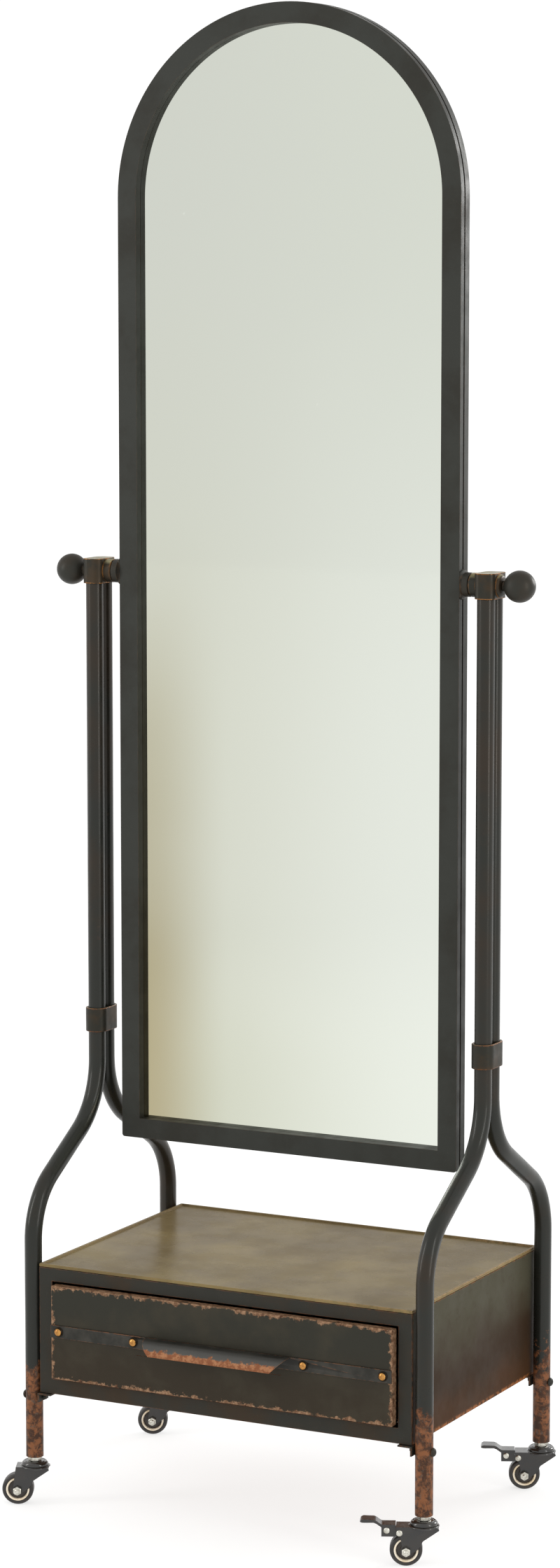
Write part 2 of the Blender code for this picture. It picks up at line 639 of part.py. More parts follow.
def case_top():
    """Top sheet with a raised hem round a shallow recess."""
    obj = box("case_top", (-CASE_HALF_WIDTH, CASE_FRONT_Y, TOP_UNDERSIDE_Z),
              (CASE_HALF_WIDTH, CASE_BACK_Y, CASE_TOP_Z))
    recess = box("top_recess",
                 (-CASE_HALF_WIDTH + TOP_RIM, CASE_FRONT_Y + TOP_RIM, CASE_TOP_Z - TOP_RECESS),
                 (CASE_HALF_WIDTH - TOP_RIM, CASE_BACK_Y - TOP_RIM, CASE_TOP_Z + 0.01))
    cut(obj, attach(recess, STAND))
    bevel(obj, 0.0006, segments=1)
    return finish_part(attach(obj, STAND), "black_paint")


def face_frame():
    """Flat frame round the drawer opening."""
    half = CASE_HALF_WIDTH
    outer = [(-half, CASE_BOTTOM_Z), (half, CASE_BOTTOM_Z),
             (half, TOP_UNDERSIDE_Z - GAP), (-half, TOP_UNDERSIDE_Z - GAP)]
    inner = [(-OPENING_HALF_WIDTH, OPENING_BOTTOM_Z), (OPENING_HALF_WIDTH, OPENING_BOTTOM_Z),
             (OPENING_HALF_WIDTH, OPENING_TOP_Z), (-OPENING_HALF_WIDTH, OPENING_TOP_Z)]
    obj = upright_plate("face_frame", [outer, inner], CASE_FRONT_Y,
                        CASE_FRONT_Y + FACE_FRAME_THICKNESS)
    bevel(obj, 0.0006, segments=1)
    return finish_part(attach(obj, STAND), "black_paint")


def drawer_runner(name, side):
    """Angle on the case side whose shelf carries the drawer."""
    wall = CASE_HALF_WIDTH - SHEET - GAP
    shelf_top = TRAY_BOTTOM_Z - GAP
    shelf_edge = TRAY_HALF_WIDTH - RUNNER_SHELF
    outline = [(side * wall, shelf_top - RUNNER_SHEET),
               (side * wall, shelf_top - RUNNER_SHEET + RUNNER_HEIGHT),
               (side * (wall - RUNNER_SHEET), shelf_top - RUNNER_SHEET + RUNNER_HEIGHT),
               (side * (wall - RUNNER_SHEET), shelf_top),
               (side * shelf_edge, shelf_top),
               (side * shelf_edge, shelf_top - RUNNER_SHEET)]
    start = max(FRONT_PAN_BACK_Y, CASE_FRONT_Y + FACE_FRAME_THICKNESS) + 0.002
    obj = upright_plate(name, [outline], start, TRAY_BACK_Y)
    return finish_part(attach(obj, STAND), "zinc")


def corner_bracket(name, side, depth):
    """Angle under the case corner, bolted through the leg."""
    y = depth * LEG_Y
    x_in, x_out = BRACKET_OUTER_X - BRACKET_LENGTH, BRACKET_OUTER_X
    outline = [(side * x_in, BRACKET_TOP_Z), (side * x_in, BRACKET_TOP_Z - BRACKET_SHEET),
               (side * (x_out - BRACKET_SHEET), BRACKET_TOP_Z - BRACKET_SHEET),
               (side * (x_out - BRACKET_SHEET), BRACKET_BOTTOM_Z),
               (side * x_out, BRACKET_BOTTOM_Z), (side * x_out, BRACKET_TOP_Z)]
    obj = upright_plate(name, [outline], y - BRACKET_WIDTH / 2, y + BRACKET_WIDTH / 2)
    hole = prism(name + "_hole", BOLT_R + GAP, -0.01, 0.01)
    cut(obj, attach(hole, STAND, (side * x_out, y, BOLT_Z), (0, math.pi / 2, 0)))
    return finish_part(attach(obj, STAND), "black_paint")


def leg_bolt(name, side, depth):
    """Round-headed bolt through leg and bracket, with its nut."""
    seat = LEG_X + TUBE_R + GAP
    nut_face = BRACKET_OUTER_X - BRACKET_SHEET - GAP
    head = arc((0, 0), 1, 90, 0, 3)
    profile = [(BOLT_HEAD_R * x, seat + BOLT_HEAD_HEIGHT * y) for x, y in head]
    profile[0] = (0, profile[0][1])
    tip = nut_face - BOLT_NUT_THICKNESS - 0.001
    profile += [(BOLT_R, seat), (BOLT_R, tip), (0, tip)]
    obj = turned(name, profile, steps=12)
    attach(obj, STAND, (0, depth * LEG_Y, BOLT_Z), (0, side * math.pi / 2, 0))
    nut = prism(name + "_nut", BOLT_NUT_FLATS / math.sqrt(3), nut_face - BOLT_NUT_THICKNESS,
                nut_face, sides=6)
    join(obj, attach(nut, STAND, obj.location, obj.rotation_euler))
    return finish_part(obj, "black_paint")


# -------------------------------------------------------------------- drawer
def drawer_tray():
    """Open-topped sheet tray behind the front."""
    front = FRONT_PAN_BACK_Y + GAP
    top = TRAY_BOTTOM_Z + TRAY_HEIGHT
    obj = box("drawer_tray", (-TRAY_HALF_WIDTH, front, TRAY_BOTTOM_Z),
              (TRAY_HALF_WIDTH, TRAY_BACK_Y, top))
    hollow = box("tray_hollow",
                 (-TRAY_HALF_WIDTH + SHEET, front + SHEET, TRAY_BOTTOM_Z + SHEET),
                 (TRAY_HALF_WIDTH - SHEET, TRAY_BACK_Y - SHEET, top + 0.01))
    cut(obj, attach(hollow, STAND))
    return finish_part(attach(obj, STAND), "black_paint")


def rivet_holes(prefix, radius):
    holes = []
    for i, x in enumerate(rivet_places()):
        hole = prism("%s_rivet_hole_%d" % (prefix, i), radius, -0.02, 0.02, sides=12)
        holes.append(attach(hole, STAND, (x, FRONT_FACE_Y, STRIP_MID_Z), (math.pi / 2, 0, 0)))
    return holes


def rivet_places():
    return (-OUTER_RIVET_X, -INNER_RIVET_X, INNER_RIVET_X, OUTER_RIVET_X)


def drawer_front():
    """Folded front pan, open to the back."""
    obj = box("drawer_front", (-FRONT_HALF_WIDTH, FRONT_FACE_Y, FRONT_BOTTOM_Z),
              (FRONT_HALF_WIDTH, FRONT_PAN_BACK_Y, FRONT_TOP_Z))
    bevel(obj, 0.0012, segments=2)
    hollow = box("pan_hollow",
                 (-FRONT_HALF_WIDTH + SHEET, FRONT_FACE_Y + SHEET, FRONT_BOTTOM_Z + SHEET),
                 (FRONT_HALF_WIDTH - SHEET, FRONT_PAN_BACK_Y + 0.01, FRONT_TOP_Z - SHEET))
    cut(obj, attach(hollow, STAND))
    for hole in rivet_holes("front", RIVET_SHANK_R + GAP):
        cut(obj, hole)
    return finish_part(attach(obj, STAND), "black_paint")


def pull_section():
    """Side view of the curled pull: a quarter of an ellipse with the sheet's thickness."""
    top = STRIP_MID_Z + STRIP_HEIGHT / 2
    outer, inner = [], []
    for i in range(LIP_STEPS + 1):
        angle = math.pi / 2 * i / LIP_STEPS
        outer.append((STRIP_FRONT_Y - LIP_REACH * math.sin(angle),
                      top - LIP_DROP * (1 - math.cos(angle))))
        inner.append((STRIP_FRONT_Y - (LIP_REACH - STRIP_THICKNESS) * math.sin(angle),
                      top - STRIP_THICKNESS - (LIP_DROP - STRIP_THICKNESS) * (1 - math.cos(angle))))
    root_y = STRIP_FRONT_Y + STRIP_THICKNESS / 2
    return [(root_y, top)] + outer + inner[::-1] + [(root_y, top - STRIP_THICKNESS)]


def drawer_pull():
    """Strap across the front whose middle carries the curled finger pull."""
    half = STRIP_HEIGHT / 2
    obj = box("drawer_pull", (-FRONT_HALF_WIDTH, STRIP_FRONT_Y, STRIP_MID_Z - half),
              (FRONT_HALF_WIDTH, STRIP_FRONT_Y + STRIP_THICKNESS, STRIP_MID_Z + half))
    lip = plate("pull_lip", [pull_section()], -LIP_HALF_LENGTH, LIP_HALF_LENGTH)
    lip.data.transform(Matrix(((0, 0, 1, 0), (1, 0, 0, 0), (0, 1, 0, 0), (0, 0, 0, 1))))
    reach = LIP_REACH + 0.02
    for side in (-1, 1):
        slant = plate("lip_end_cut", [[(0, 0), (0.04, 0), (0.04, 0.04)]], -reach, 0.0)
        slant.name = "lip_end_cut_%d" % (side + 1)
        slant.data.transform(Matrix.Rotation(math.pi / 2, 4, "X"))
        slant.data.transform(Matrix.Diagonal((side, 1, 1, 1)))
        if side < 0:
            slant.data.flip_normals()
        free_half = LIP_HALF_LENGTH - LIP_DROP
        low = STRIP_MID_Z + half - LIP_DROP
        attach(slant, STAND, (side * free_half, STRIP_FRONT_Y - reach, low))
        cut(lip, slant)
    join(obj, attach(lip, STAND))
    for hole in rivet_holes("strip", RIVET_SHANK_R + GAP):
        cut(obj, hole)
    return finish_part(attach(obj, STAND), "black_paint")


def rivet(name, x):
    """Domed rivet with its shank through strip and front."""
    seat = -(STRIP_FRONT_Y - GAP)
    dome = arc((0, 0), 1, 90, 0, 3)
    profile = [(RIVET_R * px, seat + RIVET_HEIGHT * py) for px, py in dome]
    profile[0] = (0, profile[0][1])
    tip = -(FRONT_FACE_Y + SHEET + 0.002)
    profile += [(RIVET_SHANK_R, seat), (RIVET_SHANK_R, tip), (0, tip)]
    obj = turned(name, profile, steps=12)
    attach(obj, STAND, (x, 0, STRIP_MID_Z), (math.pi / 2, 0, 0))
    return finish_part(obj, "brass")


# ------------------------------------------------------------------- casters
def fork_outline(brake):
    """Side view of the fork; local X runs forward from the king pin, local Z up."""
    nose = SWIVEL_R + 0.0027
    points = [(nose, FORK_TOP_Z), (nose, FORK_TOP_Z - 0.003),
              (AXLE_X + 0.0205, WHEEL_R + 0.0125), (AXLE_X + 0.0145, WHEEL_R + 0.0020)]
    points += arc((AXLE_X, WHEEL_R), 0.0068, -25, -180, 6)
    points += [(AXLE_X - 0.0051, WHEEL_R + 0.0068)]
    if brake:
        points += arc((PEDAL_PIVOT_X, PEDAL_PIVOT_Z), 0.0045, -80, -180, 4)
        points += [(PEDAL_PIVOT_X - 0.0040, FORK_TOP_Z)]
    else:
        points += [(AXLE_X - 0.0020, FORK_TOP_Z)]
    return points


def caster_fork(name, swivel, brake):
    """Stamped fork with its swivel cap; it turns about the king pin."""
    width = FORK_HALF_WIDTH
    obj = upright_plate(name, [fork_outline(brake)[::-1]], -width, width)
    under = FORK_TOP_Z - FORK_SHEET
    gap = box(name + "_wheel_gap", (-0.09, -FORK_HALF_GAP, -0.01), (0.05, FORK_HALF_GAP, under))
    cut(obj, attach(gap, swivel))
    top = FORK_TOP_Z + SWIVEL_HEIGHT
    profile = [(0, top), (SWIVEL_R - 0.0060, top), (SWIVEL_R - 0.0018, top - 0.0018),
               (SWIVEL_R, top - 0.0044), (SWIVEL_R, under + 0.0004), (0, under + 0.0004)]
    join(obj, attach(turned(name + "_cap", profile, steps=20), swivel))
    king = prism(name + "_king_bore", KING_PIN_R + GAP, under - 0.01, top + 0.01)
    cut(obj, attach(king, swivel))
    axle = prism(name + "_axle_bore", AXLE_R + GAP, -0.03, 0.03)
    cut(obj, attach(axle, swivel, (AXLE_X, 0, WHEEL_R), (math.pi / 2, 0, 0)))
    if brake:
        riveted_pin(obj, swivel, PEDAL_PIVOT_X, PEDAL_PIVOT_Z, FORK_HALF_WIDTH)
    return finish_part(attach(obj, swivel), "gloss_black")


def riveted_pin(obj, swivel, x, z, seat):
    """A pin across a pair of cheeks, with a domed head on each, joined to the piece."""
    dome = [(PEDAL_HEAD_R * px, seat + 0.0020 * py) for px, py in arc((0, 0), 1, 90, 0, 3)]
    dome[0] = (0, dome[0][1])
    half = dome + [(PEDAL_HEAD_R, seat - 0.0005), (PEDAL_PIN_R, seat - 0.0005)]
    profile = half + [(r, -h) for r, h in half[::-1]]
    pin = turned("%s_pin_%d" % (obj.name, round(-x * 10000)), profile, steps=12)
    join(obj, attach(pin, swivel, (x, 0, z), (math.pi / 2, 0, 0)))


def caster_stem(name, side, depth):
    """Hex collar with the threaded stem above and the king pin below."""
    under = FORK_TOP_Z - FORK_SHEET
    pin_head = under - RUN
    profile = [(0, LEG_BOTTOM_Z + STEM_LENGTH), (STEM_R, LEG_BOTTOM_Z + STEM_LENGTH),
               (STEM_R, COLLAR_BOTTOM_Z + 0.001), (KING_PIN_R, COLLAR_BOTTOM_Z + 0.001),
               (KING_PIN_R, pin_head), (KING_PIN_R + 0.003, pin_head),
               (KING_PIN_R + 0.002, pin_head - 0.0022), (0, pin_head - 0.0022)]
    obj = turned(name, profile, steps=16)
    place = (side * LEG_X, depth * LEG_Y, 0)
    attach(obj, STAND, place)
    collar = prism(name + "_collar", COLLAR_FLATS / math.sqrt(3), COLLAR_BOTTOM_Z,
                   COLLAR_TOP_Z, sides=6, turn=math.radians(30))
    join(obj, attach(collar, STAND, place))
    return finish_part(obj, "zinc")


def caster_wheel(name, swivel):
    """Tyre, inset side ring and hub, turned in one."""
    half, r = WHEEL_WIDTH / 2, WHEEL_R
    side = [(AXLE_R + RUN, half), (0.0068, half), (0.0080, half - 0.0022),
            (0.0118, half - 0.0022), (0.0122, half), (r - 0.0020, half), (r, half - 0.0030)]
    profile = side + [(x, -z) for x, z in side[::-1]]
    obj = turned(name, profile, steps=20, ring=True)
    attach(obj, swivel, (AXLE_X, 0, WHEEL_R), (math.pi / 2, 0, 0))
    return finish_part(obj, "wheel")


def caster_axle(name, swivel):
    """Axle bolt through fork and wheel, with head and nut."""
    seat = FORK_HALF_WIDTH + GAP
    tip = seat + AXLE_NUT_THICKNESS + 0.0020
    far = seat + 0.0030
    profile = [(0, tip), (AXLE_R - 0.0006, tip), (AXLE_R, tip - 0.0008),
               (AXLE_R, -far + 0.001), (0, -far + 0.001)]
    obj = turned(name, profile, steps=12)
    place, turn = (AXLE_X, 0, WHEEL_R), (math.pi / 2, 0, 0)
    attach(obj, swivel, place, turn)
    nut = prism(name + "_nut", AXLE_NUT_FLATS / math.sqrt(3), seat,
                seat + AXLE_NUT_THICKNESS, sides=6)
    join(obj, attach(nut, swivel, place, turn))
    head = prism(name + "_head", 0.0050, -far, -seat, sides=12)
    join(obj, attach(head, swivel, place, turn))
    return finish_part(obj, "zinc")


def pressed_shoe():
    """Underside of the shoe: the tyre's curve at full press, turned back to rest."""
    points = []
    for x, z in arc((AXLE_X, WHEEL_R), WHEEL_R + SHOE_GAP, *SHOE_ARC, 6):
        dx, dz = x - PEDAL_PIVOT_X, z - PEDAL_PIVOT_Z
        points.append((PEDAL_PIVOT_X + dx * math.cos(BRAKE_ANGLE) + dz * math.sin(BRAKE_ANGLE),
                       PEDAL_PIVOT_Z - dx * math.sin(BRAKE_ANGLE) + dz * math.cos(BRAKE_ANGLE)))
    return points


def brake_lever(name, swivel):
    """Foot pedal hinged on the fork's pin, with a shoe over the tyre and a closing rivet."""
    top = FORK_TOP_Z + PEDAL_TOP
    shoe_z = WHEEL_R + PEDAL_SHOE
    back = AXLE_X - PEDAL_LENGTH
    step_x = PEDAL_PIVOT_X - 0.0046
    shoe = [point for point in pressed_shoe() if point[1] > shoe_z]
    outline = [(step_x, top)] + [(back + x, top + z) for x, z in PADDLE]
    outline += [(back, shoe_z), (shoe[0][0] - 0.0004, shoe_z)] + shoe
    outline += arc((PEDAL_PIVOT_X, PEDAL_PIVOT_Z), PEDAL_LOBE_R, 245, 450, 6)
    outline += [(step_x, PEDAL_PIVOT_Z + PEDAL_LOBE_R)]
    half = FORK_HALF_GAP - RUN
    obj = upright_plate(name, [outline], -half, half)
    obj.data.transform(Matrix.Translation((-PEDAL_PIVOT_X, 0, -PEDAL_PIVOT_Z)))
    attach(obj, swivel, (PEDAL_PIVOT_X, 0, PEDAL_PIVOT_Z))
    hollow = box(name + "_hollow", (back + PEDAL_SHEET, -half + PEDAL_SHEET, shoe_z - 0.01),
                 (AXLE_X - SHOE_LENGTH, half - PEDAL_SHEET, top - PEDAL_SHEET - 0.0010))
    cut(obj, attach(hollow, swivel))
    bore = prism(name + "_bore", PEDAL_PIN_R + GAP, -0.03, 0.03, sides=12)
    cut(obj, attach(bore, swivel, (PEDAL_PIVOT_X, 0, PEDAL_PIVOT_Z), (math.pi / 2, 0, 0)))
    riveted_pin(obj, swivel, PEDAL_RIVET_X, PEDAL_RIVET_Z, half)
    return finish_part(obj, "gloss_black")


def swivel_empty(name, side, depth):
    """Empty on a caster's upright axis, turned to the way the wheel trails."""
    empty = bpy.data.objects.new(name + "_swivel", None)
    PARTS.objects.link(empty)
    return attach(empty, STAND, (side * LEG_X, depth * LEG_Y, 0), (0, 0, CASTER_HEADING))


# ------------------------------------------------------------------ assembly
def build_stand():
    for corner, side, depth in CORNERS:
        leg(corner + "_leg", side, depth)
        leg_insert(corner + "_leg_insert", side, depth)
        corner_bracket(corner + "_bracket", side, depth)
        leg_bolt(corner + "_leg_bolt", side, depth)
    for label, side in SIDES:
        pivot_head("pivot_head_" + label, side)
        ball_knob("ball_knob_" + label, side)
        band_clip("band_clip_" + label, side)


def build_mirror():
    mirror_front_frame()
    mirror_rear_frame()
    mirror_glass()
    mirror_backing()
    for label, side in SIDES:
        pivot_barrel("pivot_barrel_" + label, side)


def build_case():
    case_shell()
    case_bottom()
    case_top()
    face_frame()
    for label, side in SIDES:
        drawer_runner("drawer_runner_" + label, side)


def build_drawer():
    drawer_tray()
    drawer_front()
    drawer_pull()
    for number, x in enumerate(rivet_places(), start=1):
        rivet("drawer_rivet_%d" % number, x)


def build_casters():
    for corner, side, depth in CORNERS:
        brake = side > 0
        swivel = swivel_empty(corner + "_caster", side, depth)
        caster_stem(corner + "_caster_stem", side, depth)
        caster_fork(corner + "_caster_fork", swivel, brake)
        caster_wheel(corner + "_caster_wheel", swivel)
        caster_axle(corner + "_caster_axle", swivel)
        if brake:
            brake_lever(corner + "_brake_lever", swivel)


clear_scene()
PARTS = make_collection("Cheval_Mirror")
CUTTERS = make_collection("Cutters")
STAND = bpy.data.objects.new("stand_origin", None)
PARTS.objects.link(STAND)
STAND.location = (0, FOOTPRINT_SHIFT_Y, 0)
build_stand()
build_mirror()
build_case()
build_drawer()
build_casters()
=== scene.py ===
# %% [markdown]
# # A rolling cheval mirror, finished
#
# A tall arched mirror hangs between two posts of bent tube, over a tin drawer case on
# casters. The plain working model gives every size, joint and place. Here each piece gets
# the surface that a maker would give it: rolled edges, weld tacks, worn paint and rust.

# %% Load the working model
import json
import math

import bmesh
import bpy
from mathutils import Matrix, Vector


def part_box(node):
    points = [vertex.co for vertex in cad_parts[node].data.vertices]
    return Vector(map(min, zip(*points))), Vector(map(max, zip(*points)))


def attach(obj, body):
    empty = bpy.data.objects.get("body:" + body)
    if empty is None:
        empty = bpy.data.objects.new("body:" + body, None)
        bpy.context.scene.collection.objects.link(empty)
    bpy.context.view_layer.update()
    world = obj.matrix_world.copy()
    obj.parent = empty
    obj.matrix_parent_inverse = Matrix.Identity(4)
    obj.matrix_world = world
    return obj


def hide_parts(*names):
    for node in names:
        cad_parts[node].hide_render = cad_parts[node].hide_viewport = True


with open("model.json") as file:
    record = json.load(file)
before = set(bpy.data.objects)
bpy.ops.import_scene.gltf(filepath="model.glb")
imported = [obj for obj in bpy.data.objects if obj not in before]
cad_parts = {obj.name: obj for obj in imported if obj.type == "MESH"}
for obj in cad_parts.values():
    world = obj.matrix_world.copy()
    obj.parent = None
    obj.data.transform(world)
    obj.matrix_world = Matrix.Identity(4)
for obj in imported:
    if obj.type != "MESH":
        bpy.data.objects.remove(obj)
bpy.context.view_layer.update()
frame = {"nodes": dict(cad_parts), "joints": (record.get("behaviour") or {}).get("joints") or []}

# %% [markdown]
# ## Sizes read from the frame
#
# Tube thickness, the tilt axis and the caster places all come from the boxes of the nodes,
# and the way each wheel trails comes from its joint.

# %% Places on the object
def middle(node):
    low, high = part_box(node)
    return (low + high) / 2


CORNERS = (("front_left", -1, -1), ("front_right", 1, -1),
           ("rear_left", -1, 1), ("rear_right", 1, 1))
SIDES = (("left", -1), ("right", 1))
leg_low, leg_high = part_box("front_right_leg")
back_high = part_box("rear_right_leg")[1]
TUBE_R = (leg_high.x - leg_low.x) / 2
TUBE_WALL = 0.0015
GAP = 0.0003          # clearance between pieces that touch
LEG_X = (leg_high.x + leg_low.x) / 2
MID_Y = middle("ball_knob_right").y
TILT_Z = middle("ball_knob_right").z
PAIR_Y = MID_Y - (leg_high.y - TUBE_R)
LEG_Y = (back_high.y - TUBE_R) - MID_Y
LEG_TOP_Z, LEG_BOTTOM_Z = leg_high.z, leg_low.z
print("tube", round(TUBE_R * 2000, 1), "mm, tilt axis at", round(TILT_Z, 4))

# %% [markdown]
# ## Camera
#
# A long lens five metres away keeps the posts nearly parallel. From a little to the right,
# at eye height, the case top and the right side both show.

# %% Camera
CAMERA_PLACE = (2.3404, MID_Y - 4.5769, 1.5781)
CAMERA_TILT = math.radians(82.70)
CAMERA_TURN = math.radians(27.22)
CAMERA_LENS = 94.88
def show(name, data):
    piece = bpy.data.objects.new(name, data)
    bpy.context.scene.collection.objects.link(piece)
    return piece


camera_data = bpy.data.cameras.new("camera")
camera_data.lens = CAMERA_LENS
camera_data.clip_end = 100
camera = show("camera", camera_data)
camera.location = CAMERA_PLACE
camera.rotation_euler = (CAMERA_TILT, 0, CAMERA_TURN)
bpy.context.scene.camera = camera
bpy.context.scene.view_settings.view_transform = "Standard"

# %% [markdown]
# ## Floor and light
#
# Dark satin metal only shows what it reflects. A pale room and a floor that glows as
# brightly as the room give the even grey; two tall soft panels draw the long highlights
# down the tubes, and a third behind picks out the rim.

# %% Floor and light
PALE = (1.0, 1.0, 0.995, 1)


def set_inputs(node, values):
    for name, value in values.items():
        node.inputs[name].default_value = value


def studio_floor():
    mesh = bpy.data.meshes.new("studio_floor")
    bm = bmesh.new()
    bmesh.ops.create_grid(bm, x_segments=1, y_segments=1, size=14)
    bm.to_mesh(mesh)
    bm.free()
    floor = show("studio_floor", mesh)
    material = bpy.data.materials.new("pale_floor")
    material.use_nodes = True
    shader = material.node_tree.nodes["Principled BSDF"]
    set_inputs(shader, {"Base Color": (0.35, 0.35, 0.348, 1), "Emission Strength": 0.69,
                        "Emission Color": PALE, "Roughness": 0.85, "Specular IOR Level": 0.1})
    mesh.materials.append(material)


def soft_panel(name, place, target, width, height, power, colour=(1, 1, 1)):
    data = bpy.data.lights.new(name, "AREA")
    data.shape = "RECTANGLE"
    data.size, data.size_y = width, height
    data.energy = power
    data.color = colour
    lamp = show(name, data)
    lamp.location = place
    lamp.rotation_euler = (Vector(target) - Vector(place)).to_track_quat("-Z", "Y").to_euler()


world = bpy.data.worlds.new("pale_room")
world.use_nodes = True
set_inputs(world.node_tree.nodes["Background"], {"Color": PALE, "Strength": 1.06})
bpy.context.scene.world = world
studio_floor()
soft_panel("left_panel", (-2.8, -2.2, 2.0), (0, 0, 0.9), 0.7, 2.4, 34)
soft_panel("right_panel", (3.4, -0.9, 1.5), (0.2, 0, 0.8), 0.5, 2.4, 26, (1.0, 0.985, 0.96))
soft_panel("rim_panel", (2.2, 4.2, 2.3), (0.2, 0, 1.3), 1.6, 1.4, 70)

# %% [markdown]
# ## Making solids
#
# Four ways of making cover the whole object, as in a metal shop: push a section along a
# path, turn a profile, cut an outline from plate, and square up a block. Small rounding
# comes after, as a file would do it.

# %% Helpers for solids
def to_object(name, bm):
    bmesh.ops.recalc_face_normals(bm, faces=bm.faces)
    mesh = bpy.data.meshes.new(name)
    bm.to_mesh(mesh)
    bm.free()
    return show(name, mesh)


def sweep(name, path, section, across, closed=False):
    """Push a closed section of (out, across) points along a flat path, with mitred turns."""
    bm = bmesh.new()
    across = Vector(across)
    count = len(path)
    rings = []
    for i, place in enumerate(path):
        place = Vector(place)
        before = Vector(path[i - 1]) if i or closed else None
        after = Vector(path[(i + 1) % count]) if i < count - 1 or closed else None
        into = (place - before).normalized() if before is not None else None
        out = (after - place).normalized() if after is not None else into
        into = out if into is None else into
        along = (into + out).normalized()
        side = across.cross(along)
        stretch = 1 / max(along.dot(out), 0.2)
        rings.append([bm.verts.new(place + side * a * stretch + across * b) for a, b in section])
    pairs = list(zip(rings, rings[1:]))
    if closed:
        pairs.append((rings[-1], rings[0]))
    for ring, other in pairs:
        for j in range(len(section)):
            k = (j + 1) % len(section)
            bm.faces.new((ring[j], ring[k], other[k], other[j]))
    if not closed:
        bm.faces.new(rings[0][::-1])
        bm.faces.new(rings[-1])
    return to_object(name, bm)


def lathe(name, profile, steps=64, bored=False):
    """Turn (radius, height) points about Z. A bored piece closes its profile on itself."""
    bm = bmesh.new()
    rings = []
    for radius, height in profile:
        if radius == 0:
            rings.append([bm.verts.new((0, 0, height))])
            continue
        turns = [2 * math.pi * i / steps for i in range(steps)]
        rings.append([bm.verts.new((radius * math.cos(a), radius * math.sin(a), height))
                      for a in turns])
    pairs = list(zip(rings, rings[1:]))
    if bored:
        pairs.append((rings[-1], rings[0]))
    for ring, other in pairs:
        for i in range(steps):
            corners = [ring[i % len(ring)], ring[(i + 1) % len(ring)],
                       other[(i + 1) % len(other)], other[i % len(other)]]
            bm.faces.new(list(dict.fromkeys(corners)))
    return to_object(name, bm)


def plate(name, outlines, low, high):
    """Cut outlines (the first is outer, the rest are holes) from plate lying in X and Y."""
    curve = bpy.data.curves.new(name, "CURVE")
    curve.dimensions = "2D"
    curve.fill_mode = "BOTH"
    curve.extrude = (high - low) / 2
    for outline in outlines:
        spline = curve.splines.new("POLY")
        spline.points.add(len(outline) - 1)
        for point, (x, y) in zip(spline.points, outline):
            point.co = (x, y, 0, 1)
        spline.use_cyclic_u = True
    piece = settle(show(name, curve))
    piece.data.transform(Matrix.Translation((0, 0, (low + high) / 2)))
    return piece


def standing_plate(name, outlines, front, back):
    """The same, with the outline drawn in X and Z."""
    piece = plate(name, outlines, -back, -front)
    piece.data.transform(Matrix.Rotation(math.pi / 2, 4, "X"))
    return piece


def block(name, low, high):
    low, high = Vector(low), Vector(high)
    bm = bmesh.new()
    bmesh.ops.create_cube(bm, size=1)
    bmesh.ops.transform(bm, matrix=Matrix.Diagonal((*(high - low), 1)), verts=bm.verts)
    bmesh.ops.translate(bm, vec=(low + high) / 2, verts=bm.verts)
    return to_object(name, bm)


def settle(piece):
    """Apply every modifier and weld, leaving a plain closed mesh."""
    bpy.context.view_layer.update()
    graph = bpy.context.evaluated_depsgraph_get()
    mesh = bpy.data.meshes.new_from_object(piece.evaluated_get(graph))
    bm = bmesh.new()
    bm.from_mesh(mesh)
    bmesh.ops.remove_doubles(bm, verts=bm.verts, dist=0.000005)
    name = piece.name
    bpy.data.objects.remove(piece, do_unlink=True)
    return to_object(name, bm)


def rounded(piece, width, segments=3, angle=35):
    modifier = piece.modifiers.new("filed_edges", "BEVEL")
    modifier.width = width
    modifier.segments = segments
    modifier.limit_method = "ANGLE"
    modifier.angle_limit = math.radians(angle)
    return settle(piece)


def combine(piece, other, operation="UNION"):
    modifier = piece.modifiers.new("combine", "BOOLEAN")
    modifier.operation = operation
    modifier.solver = "EXACT"
    modifier.object = other
    piece = settle(piece)
    bpy.data.objects.remove(other, do_unlink=True)
    return piece


def arc(centre, radius, start, end, steps):
    """Points along an arc, both ends included, with angles in degrees."""
    turns = [math.radians(start + (end - start) * i / steps) for i in range(steps + 1)]
    return [(centre[0] + radius * math.cos(a), centre[1] + radius * math.sin(a)) for a in turns]


def bent_path(corners, radii, steps=14):
    """Straight runs joined by round bends."""
    points = [Vector(corners[0])]
    for before, corner, after, radius in zip(corners, corners[1:], corners[2:], radii):
        before, corner, after = Vector(before), Vector(corner), Vector(after)
        into, out = (corner - before).normalized(), (after - corner).normalized()
        turn = into.angle(out)
        start = corner - into * radius * math.tan(turn / 2)
        inward = (out - into * into.dot(out)).normalized()
        for i in range(steps + 1):
            a = turn * i / steps
            points.append(start + inward * radius * (1 - math.cos(a)) + into * radius * math.sin(a))
    points.append(Vector(corners[-1]))
    return points


def rounded_box(low, high, radius, steps):
    """Closed outline of a rectangle with eased corners."""
    (a, b), (c, d) = low, high
    centres = ((c - radius, d - radius), (a + radius, d - radius), (a + radius, b + radius),
               (c - radius, b + radius))
    return [point for i, centre in enumerate(centres)
            for point in arc(centre, radius, 90 * i, 90 * i + 90, steps)]


def turn_to(piece, direction, place):
    """Stand a piece made along +Z along another direction, with its origin at a place."""
    swing = Vector((0, 0, 1)).rotation_difference(Vector(direction)).to_matrix().to_4x4()
    piece.data.transform(Matrix.Translation(place) @ swing)
    return piece
